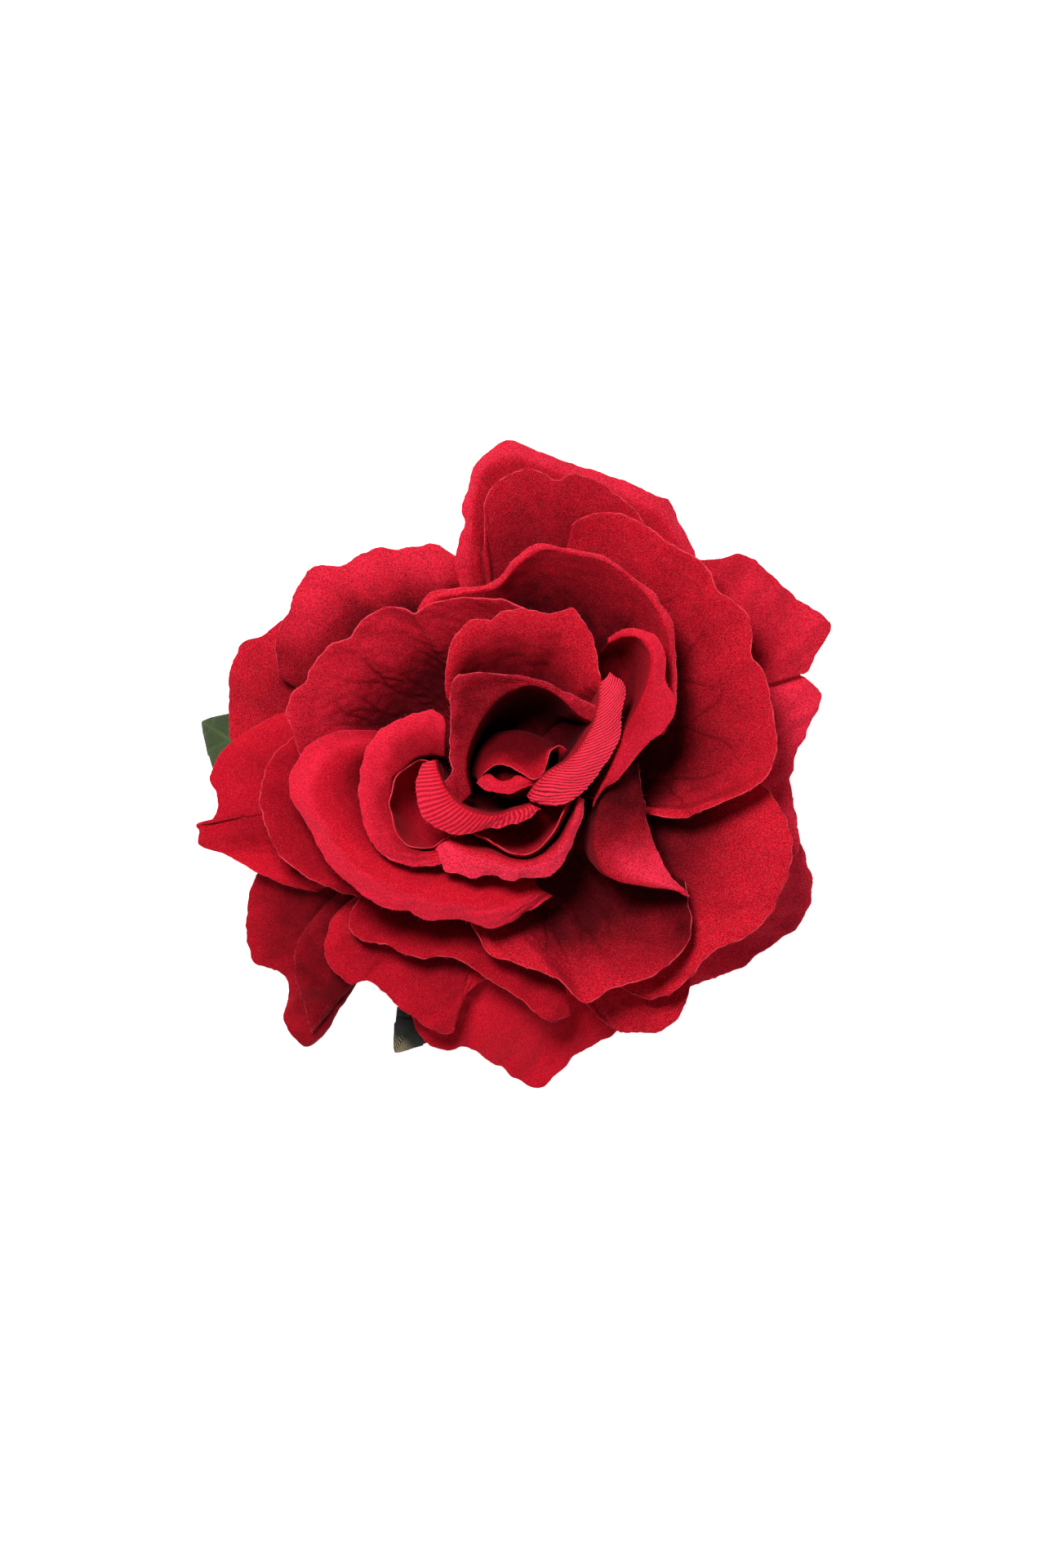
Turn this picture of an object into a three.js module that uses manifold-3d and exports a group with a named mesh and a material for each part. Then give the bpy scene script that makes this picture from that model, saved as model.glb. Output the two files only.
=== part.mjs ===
// Flower hair clip: a fabric rose head of about 110 mm on a round felt pad, with a sprung
// metal hair clip under it. Millimetres. The part lies face up on a table: z = 0 is the table,
// +Z is the way the flower faces, and the clip lies along X.
import * as THREE from "three";
import { mergeVertices } from "three/addons/utils/BufferGeometryUtils.js";
import Module from "manifold-3d";

const wasm = await Module();
wasm.setup();

// Driving dimensions
const PETAL = 0.5; // thickness of a stiffened fabric petal
const GAP = 0.3; // least clearance between neighbouring pieces
const SHEET = 0.8; // sheet metal of the clip
const JAW_W = 9.0; // width of the upper jaw
const LOWER_W = 7.0; // width of the lower jaw's ears, which sit inside the upper jaw's
const PLATE_Z = 11.6; // underside of the upper jaw's plate
const PIVOT = [10, 8.2]; // x and z of the pivot pin
const PIN_R = 1.0;
const WIRE_R = 0.4;
const COIL_R = 2.3;
const COIL_TURNS = 3;
const FELT_R = 19;
const FELT_T = 1.6;
const FELT_Z = PLATE_Z + SHEET + GAP;
const CALYX_Z = FELT_Z + FELT_T + GAP;

const HUB_R = 4.6;
const HUB_Z = CALYX_Z + 1.5;
const HUB_TOP = 26;
const BUD_FOOT = HUB_TOP + 0.4;
const BUD_TOP = 37.2; // under the mouth that the bud's two wraps leave open

const RED = new THREE.Color(0.62, 0.02, 0.06);
const GREEN = new THREE.Color(0.06, 0.11, 0.03);

// A petal's section runs from its seam on the hub to its crest or rim along a curve with two
// control points. Each pair holds the share at lift 0, an even slope, and at lift 1, a bowl.
const START_OUT = [0.4, 0.75]; // of the reach that the first control point lies out
const RIM_BACK = [0.34, 0.04]; // of the reach that the second lies back from the crest
const RIM_DROP = [0.42, 0.52]; // of the rise that the second lies under the crest
const WALL = 0.68; // share of a folded petal's length that lies before its crest
const LIP_OUT = 0.45; // shares of the lip's width and height that shape its curve
const LIP_BACK = 0.4;
const LIP_HIGH = 0.38;
const WALL_TUCK = [0.2, 1]; // of the lip's width that the wall leans back, at shoulder 0 and 1
const SHOULDER_RISE = 0.44; // share of the rise that a full shoulder lifts the wall by
const HOOD_BACK = 0.45; // shares of a hood's reach and rise where it turns over to its crest
const HOOD_DROP = 0.06;
const ARCH_FADE = 0.5; // share of an arch's height that is lost at the petal's two sides
const ROLL_FROM = 0.78; // share of the length where an edge starts to curl under
const PETAL_STEP = 7; // spacing across a petal of the points of its solid

// A leaf's blade
const LEAF_POINT = 0.06; // share of the greatest width that is left at the two ends
const LEAF_TAPER = 0.8; // under 1, the blade stays broad for longer
const LEAF_FOLD = 0.12; // slope of the two halves up from the midrib

// Petals from the centre outwards, so that an inner petal keeps its shape and the next one
// yields to it. foot: first and last bearing in degrees, radius and height of the seam on the
// hub. rim: the cut edge. fold: the crest that the petal rolls over, where it has one. lift: how
// sharply it turns up towards its rim, from 0, an even slope, to 1, a bowl. arch: how far its
// middle bows up. shoulder: how flat a folded petal runs up to its crest. hood: how far out, and
// to what share of its rise, a petal goes before it turns over to its crest. roll: how far the
// cut edge curls under.
const PETALS = [
  {
    name: "petal_cup_right",
    foot: [50, -62, 5.4, 24.6],
    lift: 1,
    fold: [[15, 14.5, 48.5], [14.3, 10, 49.8], [13.3, 7, 50], [11.5, 4, 50], [9, 1, 49.5],
      [6, -1, 48.8], [4, -3, 47.5], [2.5, -5, 46]],
    rim: [[16, 15.8, 47], [18, 14.5, 47], [18.8, 12.5, 47], [18.3, 9, 47], [18, 5, 47],
      [17, 3, 47], [15, 0, 46.5], [12, -3.5, 46], [9, -6, 46], [6, -6.3, 45.5], [3, -5.7, 45]],
  },
  {
    name: "petal_cup_left",
    foot: [172, 292, 5.4, 24],
    lift: 1,
    fold: [[-13.5, 1.2, 47.5], [-13, -1, 48.4], [-12, -3.5, 48.8], [-9.5, -6.5, 48.8],
      [-6.5, -8, 48.4], [-3, -8.3, 47.8], [0, -7.3, 46.8], [3, -6.3, 45]],
    rim: [[-15.5, 0.5, 46.2], [-16.5, -3, 47], [-16, -7, 47.4], [-14, -9.5, 47.6],
      [-11, -11, 47.5], [-8, -11.2, 47.5], [-5, -10.5, 47.3], [-2, -10, 46.8], [2, -8.8, 45.9],
      [4.5, -7, 44.6]],
  },
  {
    name: "petal_cup_back",
    foot: [200, 20, 5.2, 24.2],
    lift: 1,
    fold: [[-7.5, -4.5, 43.4], [-8.2, 0, 45], [-7, 5, 46.2], [-4, 10.5, 46.8], [0, 13.3, 47],
      [3, 14, 47.2], [7, 12.5, 47.2], [11, 8.5, 46.8], [12.4, 5, 45]],
    rim: [[-8.8, -5.5, 43.6], [-10.5, 0, 46], [-10.8, 8, 48.4], [-10.2, 15, 49.6],
      [-8, 15.8, 49.6], [-4, 16, 49.2], [0, 15.5, 48.6], [4, 14.8, 48], [8, 13.2, 47.2],
      [12, 10.5, 46.4], [13.5, 8, 45.4], [13.8, 5, 44]],
  },
  {
    name: "petal_cup_lining",
    foot: [-30, -122, 6.1, 23.4],
    lift: 0.9,
    rim: [[9.9, -5.2, 42.5], [8.6, -8, 43.2], [6, -12, 43.5], [3, -14.5, 43.6], [0, -14.7, 43.6],
      [-3, -13.2, 43.4], [-5, -11.8, 43], [-7, -10.5, 42]],
  },
  {
    name: "petal_cup_front",
    foot: [-25, -132, 6.8, 22.8],
    lift: 1,
    fold: [[11, -5, 42.6], [9.9, -8.8, 43.8], [7.4, -13.2, 44.4], [3, -16, 44.5],
      [0, -16.1, 44.5], [-4, -14.8, 44.4], [-8, -13.7, 43.8], [-11, -12.2, 42.4]],
    rim: [[12.2, -5.5, 41.5], [11.5, -9, 42], [10, -12.5, 42.4], [8.5, -16, 42.4],
      [6.5, -18, 42.4], [4.5, -18.7, 42.4], [1.5, -18.6, 42.4], [0, -19.2, 42.4],
      [-2, -18.9, 42.4], [-3, -18.2, 42.5], [-5, -18.5, 42.4], [-7, -18.9, 42.3], [-9.5, -18, 42],
      [-11.5, -17.8, 41.5], [-12.4, -16.3, 41.2], [-13.5, -13.5, 41]],
  },
  {
    name: "petal_cup_top",
    foot: [152, 42, 6.2, 23.4],
    lift: 0.3,
    hood: [8, 0.1],
    rim: [[-11.5, 12, 44], [-11.6, 17, 46], [-10.8, 21, 46.6], [-9, 23.5, 46.8], [-7, 25, 46.8],
      [-4, 25.2, 46.6], [-2, 26.3, 46.8], [1, 26.8, 46.8], [3, 26.5, 46.6], [5.5, 25.8, 46.4],
      [8, 26.4, 46.6], [10, 26.7, 46.6], [11.5, 25, 46.2], [13, 22.5, 45.6], [13.8, 20, 45],
      [14.2, 17, 44], [14.8, 14, 42.5]],
  },
  {
    name: "petal_cup_nested",
    foot: [160, 246, 6.2, 23],
    lift: 0.9,
    rim: [[-12, 0.4, 41.4], [-15.4, -0.2, 43], [-18.6, -1.8, 44.8], [-20.8, -4.4, 45.5],
      [-21.3, -7.2, 45.5], [-20.1, -10.5, 45.2], [-17.6, -13.2, 44.4], [-13.5, -14.2, 42.4],
      [-10, -13.2, 40.6]],
  },
  {
    name: "petal_cup_side",
    foot: [152, 250, 6.9, 22.4],
    lift: 1,
    fold: [[-11.8, 1.8, 42.8], [-14, 2.2, 44], [-16.6, 1.6, 44.8], [-19, -0.6, 44.9],
      [-20.5, -4, 44.8], [-20.6, -8.8, 44.6], [-18.8, -12.6, 44], [-16, -14.2, 43],
      [-12.5, -14, 41.2]],
    rim: [[-11.5, 7.2, 41.8], [-12, 8.6, 42], [-14, 9.8, 42.4], [-17, 9, 42.6], [-20, 8, 42.8],
      [-23, 6, 42.8], [-25, 3, 42.8], [-26, -1, 42.8], [-26.2, -5, 42.8], [-25.5, -9, 42.8],
      [-24.5, -12, 42.6], [-22, -15, 42.4], [-18, -16.6, 41.8], [-14, -16.6, 41], [-11, -15.6, 40]],
  },
  {
    name: "petal_wing_right",
    foot: [-32, 62, 6.9, 22.6],
    lift: 0.9,
    fold: [[13.6, -5.4, 41], [16, -1, 43.6], [18.8, 6, 45.4], [21, 10, 46], [22.8, 15, 46.2],
      [23, 19.4, 46], [21.2, 21.9, 45.4], [18.7, 22.4, 44.4], [16, 21.3, 42.6]],
    rim: [[13.4, -6.6, 40], [15, -4, 41.6], [17.5, -2, 42.8], [20, 1, 43.6], [22.5, 4, 44],
      [25, 6, 44.2], [27, 8.5, 44.2], [27, 12, 44.2], [25.7, 15, 44.4], [25.5, 19, 44.6],
      [24, 22, 44.6], [22, 23, 44.4], [19, 23.2, 43.6], [16, 22, 41.6]],
  },
  {
    name: "petal_curl_right",
    foot: [-8, -62, 7.6, 21.8],
    lift: 0.9,
    fold: [[16, -2, 38.6], [14.6, -6, 39.4], [13.6, -10, 39.7], [13.8, -14, 39.7],
      [15.2, -17.4, 39.5], [18, -19.2, 39], [22, -19.9, 37.8], [26, -20.6, 36], [29.2, -21.5, 34]],
    rim: [[21, 1, 36.4], [21.8, -4, 36], [22.4, -8, 35.6], [23, -11, 35.2], [24, -14, 35],
      [25.4, -16.6, 34.8], [27, -18.8, 34.4], [28.6, -20.8, 33.8], [30, -22.4, 33.4]],
  },
  {
    name: "petal_wide_left",
    foot: [150, 286, 7.7, 21.6],
    lift: 0.6,
    shoulder: 1,
    fold: [[-20, 3.4, 37.6], [-24, 3.6, 39], [-29, 2.4, 39.8], [-32.4, -1, 40], [-33, -5, 40],
      [-30.6, -11, 40], [-26, -16.4, 40], [-20, -20, 39.6], [-13, -22, 39], [-6, -23, 37.8],
      [-1, -22.8, 36], [4.4, -20.8, 33.4]],
    rim: [[-19, 5, 36.4], [-23, 6.1, 37], [-27, 6.5, 37.4], [-30, 6.3, 37.5], [-33, 5, 37.5],
      [-35, 3.5, 37.5], [-37, 1, 37.3], [-38.3, -3, 37], [-37.5, -6, 37], [-35, -10, 37],
      [-33, -14, 37], [-30, -18, 37], [-27, -20.5, 37], [-25, -22, 37], [-21, -24, 36.8],
      [-18, -24.2, 36.8], [-17, -25, 36.6], [-14, -26, 36.2], [-11, -25.6, 36], [-8, -26, 35.4],
      [-5, -27.2, 34.8], [-2, -27, 34], [1, -25.5, 33.4], [4, -23.5, 32.6], [6.4, -21.8, 31.6]],
  },
  {
    name: "petal_veined_left",
    foot: [172, 84, 7.6, 21.4],
    lift: 0.1,
    rim: [[-35.4, -1, 33], [-37, 4, 35], [-39, 9.5, 36.4], [-38, 12, 37], [-35.5, 14.5, 37],
      [-34.5, 16.5, 37.2], [-33, 19, 37.4], [-31, 20.8, 37.6], [-29, 21.2, 37.6],
      [-27.5, 21.8, 37.8], [-26.5, 23.5, 38], [-25, 25, 38.2], [-22.5, 26.5, 38.4],
      [-19, 26.6, 38.6], [-17, 25.9, 38.8], [-14, 27.8, 39], [-8, 29, 39.2], [-3, 29.2, 39.4],
      [0, 28.7, 39.4], [4, 26.6, 39]],
  },
  {
    name: "petal_ring_top",
    foot: [128, 8, 7.4, 21.2],
    lift: 0.5,
    fold: [[-16, 24, 34.4], [-13, 28.6, 36], [-8, 29.6, 36.8], [-3, 30.8, 37.8],
      [0.6, 34.6, 39.4], [4.8, 37.1, 40], [10, 36.3, 40.2], [16, 34.8, 40], [20.4, 31.4, 40],
      [24.2, 27.2, 40], [26.3, 22.4, 40], [26.9, 16.4, 39.4], [26.6, 10.4, 38.2],
      [24.8, 5.8, 35.8]],
    rim: [[-17.6, 25, 34], [-15, 29, 35.4], [-13, 30.2, 36], [-8, 30.6, 36.6], [-5, 30.9, 37],
      [-3, 32, 37.6], [0, 35, 38.8], [3, 37.6, 39.2], [5, 38, 39.4], [8, 37.2, 39.6],
      [10, 37, 39.6], [16, 35.5, 39.4], [20, 32.5, 39.4], [24, 29, 39.4], [26.5, 25, 39.4],
      [27.4, 20, 39.4], [27.6, 15, 39], [27.2, 10, 38], [25.4, 5.6, 35.4]],
  },
  {
    name: "petal_large_right",
    foot: [76, -28, 8.2, 20.4],
    lift: 0.3,
    rim: [[10, 41, 31], [12, 42.4, 31.6], [16.5, 43.2, 32.4], [22, 40.8, 33], [26, 38, 33.6],
      [28.5, 36.8, 33.8], [31, 35.5, 33.8], [33.5, 33.5, 34], [35, 30.5, 34], [37.5, 28.5, 34],
      [39.7, 26, 34], [40.3, 22.5, 34], [40.2, 19, 34], [42, 16.5, 34], [43.3, 12, 34],
      [44.3, 7, 33.6], [44.3, 2, 33.2], [43, -2, 32.8], [40, -5, 32.4], [35, -7.5, 31.8],
      [31, -9, 31], [27, -8.6, 30], [23.4, -7.6, 28.6]],
  },
  {
    name: "petal_wrinkled_front",
    foot: [-42, -108, 8.4, 20.6],
    lift: 0.5,
    rim: [[29.4, -19.6, 28.6], [30, -23, 29.4], [30.2, -27, 30], [29, -30, 30.4], [27, -33, 30.4],
      [23, -36, 30.4], [19, -37.5, 30.2], [16, -38, 30], [12, -40.2, 29.4], [8, -38, 29.4],
      [4, -35, 29.4], [0, -32.8, 29.4], [-3, -31.5, 29.2], [-4.5, -30, 29], [-6, -28, 28.6],
      [-8, -25, 28]],
  },
  {
    name: "petal_behind_left",
    foot: [164, 216, 8.6, 19.8],
    lift: 0.3,
    arch: 0.6,
    rim: [[-35, 7.6, 25.6], [-38, 5, 26.8], [-41, 2, 27.8], [-43, -2, 28.4], [-43.8, -6, 28.6],
      [-42.8, -10, 28.6], [-41, -14, 28.6], [-38, -17.5, 28.4], [-34, -20, 28], [-30, -21, 27.6],
      [-26, -21.6, 26.6]],
  },
  {
    name: "petal_back_inner",
    foot: [106, 58, 8.8, 19.4],
    lift: 0.15,
    arch: 0.8,
    rim: [[-4.8, 32, 25.6], [-5.3, 40, 28.4], [-5, 46, 29.6], [-3, 48.5, 30], [0, 50.3, 30.2],
      [2, 51, 30.2], [5, 50.5, 30.2], [7.5, 49.5, 30], [9.5, 50.3, 30.2], [12, 50, 30],
      [15, 48.6, 29.6], [19, 45.4, 29], [23, 41, 28]],
  },
  {
    name: "petal_right_front",
    foot: [-6, -56, 9, 19.2],
    lift: 0.2,
    arch: 1.2,
    rim: [[37, -0.6, 24.4], [42.5, -3, 25.4], [45, -6, 25.6], [47, -10, 25.8], [47.7, -14, 25.8],
      [47, -18, 25.8], [45, -22.5, 25.8], [43, -26, 25.6], [40, -28.8, 25.2], [36, -30.5, 24.8],
      [33, -32.5, 24.4], [31, -35, 24], [29, -37, 23.4], [26, -39.2, 22.8], [23.5, -39.5, 22.4],
      [20, -38.7, 22], [16.4, -36, 21.6]],
  },
  {
    name: "petal_lower_left",
    foot: [222, 282, 8.9, 19.4],
    lift: 0.4,
    rim: [[-26, -21.6, 22.6], [-28, -25, 23.8], [-28, -27.5, 24.2], [-26, -29.5, 24.4],
      [-22, -30.3, 24.4], [-19, -31.8, 24.4], [-16, -32.8, 24.4], [-12, -32.8, 24.2],
      [-8, -34, 23.8], [-4, -36.5, 23.2], [0, -39, 22.6], [3, -42, 21.8], [6, -43.5, 21],
      [9.6, -42.6, 20.4]],
  },
  {
    name: "petal_back_outer",
    foot: [112, 48, 9.6, 18],
    lift: 0.1,
    fold: [[-7.4, 30, 20.4], [-7, 38, 23.6], [-6.6, 46, 24.8], [-4.6, 50.6, 25], [-1, 52.6, 25.2],
      [5, 50.8, 25.6], [12, 48.6, 26], [20, 45, 26.4], [25, 42, 26.2], [27.6, 37.6, 25.4],
      [29, 33, 24]],
    rim: [[-10, 29, 19], [-10, 36, 21.4], [-9.5, 39, 22.2], [-8.5, 42, 23], [-9, 45, 23],
      [-8, 47.5, 23], [-7.5, 50, 23], [-6.5, 52, 23], [-4, 54.5, 22.8], [-1, 56.3, 22.6],
      [1, 55.7, 22.8], [5, 54, 23.2], [10, 52, 23.8], [15, 50.5, 24.2], [20, 48.5, 24.6],
      [25, 46.3, 24.4], [26.5, 46, 24.2], [27.5, 44, 24.2], [29, 41, 24], [30.5, 38, 23.6],
      [32, 34, 22.4]],
  },
  {
    name: "petal_upper_left",
    foot: [160, 106, 9.4, 18.6],
    lift: 0.15,
    arch: 2.6,
    rim: [[-34.6, 10, 19], [-37.5, 14, 20.4], [-40, 16, 21.2], [-41, 20, 21.8], [-40, 24.5, 22],
      [-38.5, 27, 22], [-38, 29, 22], [-36.5, 32, 22], [-34.5, 34.3, 22], [-32, 34.5, 22],
      [-29.5, 34.4, 22], [-27, 36, 22], [-24, 37.4, 21.8], [-20, 37.4, 21.6], [-16, 38, 21.4],
      [-13.5, 38.1, 21.2], [-12, 37.3, 20.8], [-9.4, 34.6, 19.8], [-7, 30, 18.8]],
  },
  {
    name: "petal_spread_left",
    foot: [164, 212, 9.6, 18.2],
    lift: 0.1,
    arch: 2.6,
    rim: [[-36, 9, 18.4], [-39, 10, 18.6], [-43, 8, 18.6], [-47, 5.5, 18.4], [-50.5, 2.5, 18],
      [-52, 0, 17.8], [-52.5, -2, 17.6], [-51.5, -4, 17.6], [-51.2, -6.5, 17.4], [-52, -8.5, 17],
      [-53, -9.5, 16.6], [-55, -9.8, 16], [-54.6, -11, 15.8], [-54.8, -13, 15.2],
      [-54, -13.8, 15], [-50, -15.2, 15.6], [-45, -17.3, 16.4], [-40, -19.7, 17.2],
      [-34, -21.4, 17.8]],
  },
  {
    name: "petal_lower_lip",
    foot: [222, 260, 9.8, 18],
    lift: 0.1,
    arch: 2.6,
    rim: [[-28.6, -23, 16.8], [-31, -26, 17.6], [-32.3, -31, 18], [-31.5, -34, 18],
      [-30, -35.8, 18], [-28, -37, 17.8], [-25, -36.7, 17.8], [-22.5, -38.5, 17.4],
      [-19, -41.7, 16.8], [-15, -44.5, 16], [-12, -46, 15.4], [-10.5, -45.4, 15.6],
      [-10, -43, 16.2], [-9, -40, 17], [-7.5, -38, 17.4], [-4, -35.4, 17.8]],
  },
  {
    name: "petal_lower_right",
    foot: [-44, -78, 9.8, 18],
    lift: 0.1,
    arch: 2.6,
    rim: [[30, -31, 17], [30.4, -36, 16.4], [29, -41, 15.8], [27.5, -43.5, 15.4],
      [25, -45.3, 15.2], [22, -45.9, 15.2], [18, -45.6, 15.6], [15, -43.5, 16.2], [12, -40.5, 17],
      [8.6, -36.6, 17.6]],
  },
  {
    name: "petal_corner_right",
    foot: [56, 22, 9.8, 18.4],
    lift: 0.1,
    arch: 1.4,
    roll: 1.6,
    rim: [[29, 37, 18.6], [32, 36, 18.6], [36, 36.2, 18.6], [39, 37, 18.4], [41, 36, 18.2],
      [45, 32.5, 17.6], [50, 28.5, 16.8], [53, 26.5, 16], [54.5, 25, 15.4], [54, 22.5, 15.6],
      [52, 19.5, 16.2], [50.3, 16.4, 16.6], [46, 18.6, 17.2], [40, 21.6, 17.8]],
  },
  {
    name: "petal_tongue_left",
    foot: [212, 238, 10.2, 17.4],
    lift: 0.1,
    arch: 3.2,
    rim: [[-29, -21, 14.4], [-32, -23.5, 14.2], [-35, -26, 13.8], [-37.3, -30, 12.8],
      [-37.8, -34, 11.4], [-37, -39, 9.4], [-36.2, -43, 7], [-35.2, -46.6, 5], [-32.5, -42, 7.6],
      [-29.4, -36.6, 10.6], [-25.6, -31, 13.4]],
  },
  {
    name: "petal_right_back",
    foot: [34, -18, 10.3, 17.6],
    lift: 0.05,
    arch: 3,
    rim: [[37.6, 24.8, 15], [40.5, 23, 14.8], [45, 19, 14.2], [50, 15.8, 13.4], [52.5, 14, 12.8],
      [53.5, 12.5, 12.4], [52.5, 9.5, 12.4], [50, 5, 12.6], [48.5, 2, 12.8], [47.7, -2, 12.8],
      [48, -5, 12.6], [49, -9, 12.2], [49.4, -14, 11.6], [45, -19, 12]],
  },
  {
    name: "petal_outer_left",
    foot: [176, 138, 10.2, 17.4],
    lift: 0.05,
    arch: 3.2,
    rim: [[-46.6, 2, 11], [-49, 5, 11], [-49.5, 10, 11], [-49.3, 12, 11.2], [-49.4, 15, 11.6],
      [-48.8, 18, 12], [-47.5, 21, 12.4], [-46, 22.2, 12.8], [-43.5, 23, 13.2],
      [-41.5, 24.5, 13.4], [-39, 26.5, 13.6], [-34, 29, 14], [-28, 30, 14.2]],
  },
  {
    name: "petal_right_low",
    foot: [-14, -48, 10.6, 16.9],
    lift: 0,
    arch: 4.4,
    rim: [[46.6, -9, 9.6], [49.7, -14, 7], [51, -17, 5.4], [52.3, -20, 3.6], [52, -24, 2],
      [50.5, -27, 1.2], [47, -30, 1.6], [43, -32.5, 3], [38, -35, 4.8], [34, -36, 6.4],
      [30.5, -37.5, 7.4], [26.4, -38, 8.6]],
  },
  {
    name: "petal_front_outer",
    foot: [243, 294, 10.6, 16.9],
    lift: 0,
    arch: 4.4,
    rim: [[-19.6, -38.6, 10], [-18, -43, 8.4], [-16, -47, 6.6], [-12.5, -48.7, 5.8],
      [-8, -48.3, 5.6], [-5, -51, 4.4], [0, -55, 2.4], [3, -56.6, 1.4], [5.5, -56, 1.6],
      [7.5, -53, 3], [10, -50, 4.4], [12.5, -48, 5.4], [17, -45.7, 6.6], [21, -42, 8.4]],
  },
  {
    name: "petal_low_left",
    foot: [204, 234, 10.8, 16.6],
    lift: 0,
    arch: 4.6,
    rim: [[-43.4, -15.6, 11.4], [-44.4, -17.8, 10.6], [-46, -22, 8.8], [-46.6, -27, 7],
      [-46.3, -31, 5.4], [-45, -34, 4.4], [-41, -35, 5], [-39.3, -37, 4.6], [-39.2, -40, 3.6],
      [-40.3, -43.5, 2.6], [-39.5, -45, 2], [-38, -47, 1.4], [-36, -48.4, 1.1], [-35, -48, 1.3],
      [-35.2, -46, 2], [-34.6, -42, 4], [-32, -37, 6.6]],
  },
];

// The two folds of fabric that wrap the closed bud.
const BUD_WRAPS = [
  {
    name: "bud_wrap_front",
    foot: [196, 344, 4.9, 26.6],
    lift: 1,
    hood: [1.2, 0.55],
    fold: [[-5.6, -1.5, 40.6], [-4.3, -1.2, 41.6], [-3.3, -2, 41.9], [-2, -2.4, 42],
      [-0.6, -2.1, 42.2], [0.4, -1.4, 42.4], [2.1, -2, 42.3], [4.6, -1.9, 41]],
    rim: [[-6.4, -2.6, 39.6], [-4.5, -3.9, 40.6], [-2.1, -4.3, 41], [-0.3, -4.1, 41.2],
      [1.5, -3.4, 41.4], [3.1, -2.9, 41.3], [5.4, -2.5, 40.2]],
  },
  {
    name: "bud_wrap_back",
    foot: [188, -6, 5, 26.6],
    lift: 1,
    hood: [4.4, 0.5],
    rim: [[-6.4, -2.3, 39.6], [-4.9, -0.8, 41.6], [-3.6, 0.1, 42.4], [-2, 0.3, 42.8],
      [-0.6, 0, 43], [0.4, -0.9, 43.1], [1.4, -1.7, 43.1], [2.8, -2.2, 42.9], [4.2, -2, 42.5],
      [5.3, -0.6, 42.1], [5.8, 1, 41.9], [6.4, 2.9, 41.7], [7.7, 3.7, 40.9], [8.9, 2.8, 39.6]],
  },
];

// Leaves: the centre line from stalk to tip and the greatest width.
const LEAVES = [
  {
    name: "leaf_left",
    spine: [[-11, 1, 16], [-26, -1.4, 14.9], [-41, 0.6, 9.4], [-54.4, 8, 1.2]],
    width: 22,
  },
  {
    name: "leaf_bottom",
    spine: [[-4.4, -10.2, 16], [-7, -22.4, 14.4], [-11, -35.6, 8.6], [-20.8, -49.5, 1.2]],
    width: 15,
  },
];

// A closed geometry as a solid.
function solidOf(geometry) {
  const bare = geometry.index ? geometry.toNonIndexed() : geometry.clone();
  bare.deleteAttribute("normal");
  bare.deleteAttribute("uv");
  const merged = mergeVertices(bare, 1e-4);
  return new wasm.Manifold(
    new wasm.Mesh({
      numProp: 3,
      vertProperties: new Float32Array(merged.attributes.position.array),
      triVerts: new Uint32Array(merged.index.array),
    }),
  );
}

// A solid as a geometry with flat facets.
function geometryOf(solid) {
  const mesh = solid.getMesh();
  const position = new Float32Array(mesh.numVert * 3);
  for (let i = 0; i < mesh.numVert; i++) {
    position.set(mesh.vertProperties.subarray(i * mesh.numProp, i * mesh.numProp + 3), i * 3);
  }
  const geometry = new THREE.BufferGeometry();
  geometry.setAttribute("position", new THREE.BufferAttribute(position, 3));
  geometry.setIndex(new THREE.BufferAttribute(new Uint32Array(mesh.triVerts), 1));
  return geometry;
}

// The largest body of a solid.
function mainBody(solid) {
  return solid.decompose().sort((a, b) => b.volume() - a.volume())[0];
}

// The point at a share of the length of a smooth curve.
function along(points, share) {
  return new THREE.CatmullRomCurve3(
    points.map((p) => new THREE.Vector3(...p)),
    false,
    "centripetal",
  ).getPointAt(share);
}

function bezier(a, b, c, d, t) {
  const u = 1 - t;
  return new THREE.Vector3()
    .addScaledVector(a, u * u * u)
    .addScaledVector(b, 3 * u * u * t)
    .addScaledVector(c, 3 * u * t * t)
    .addScaledVector(d, t * t * t);
}

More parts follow.
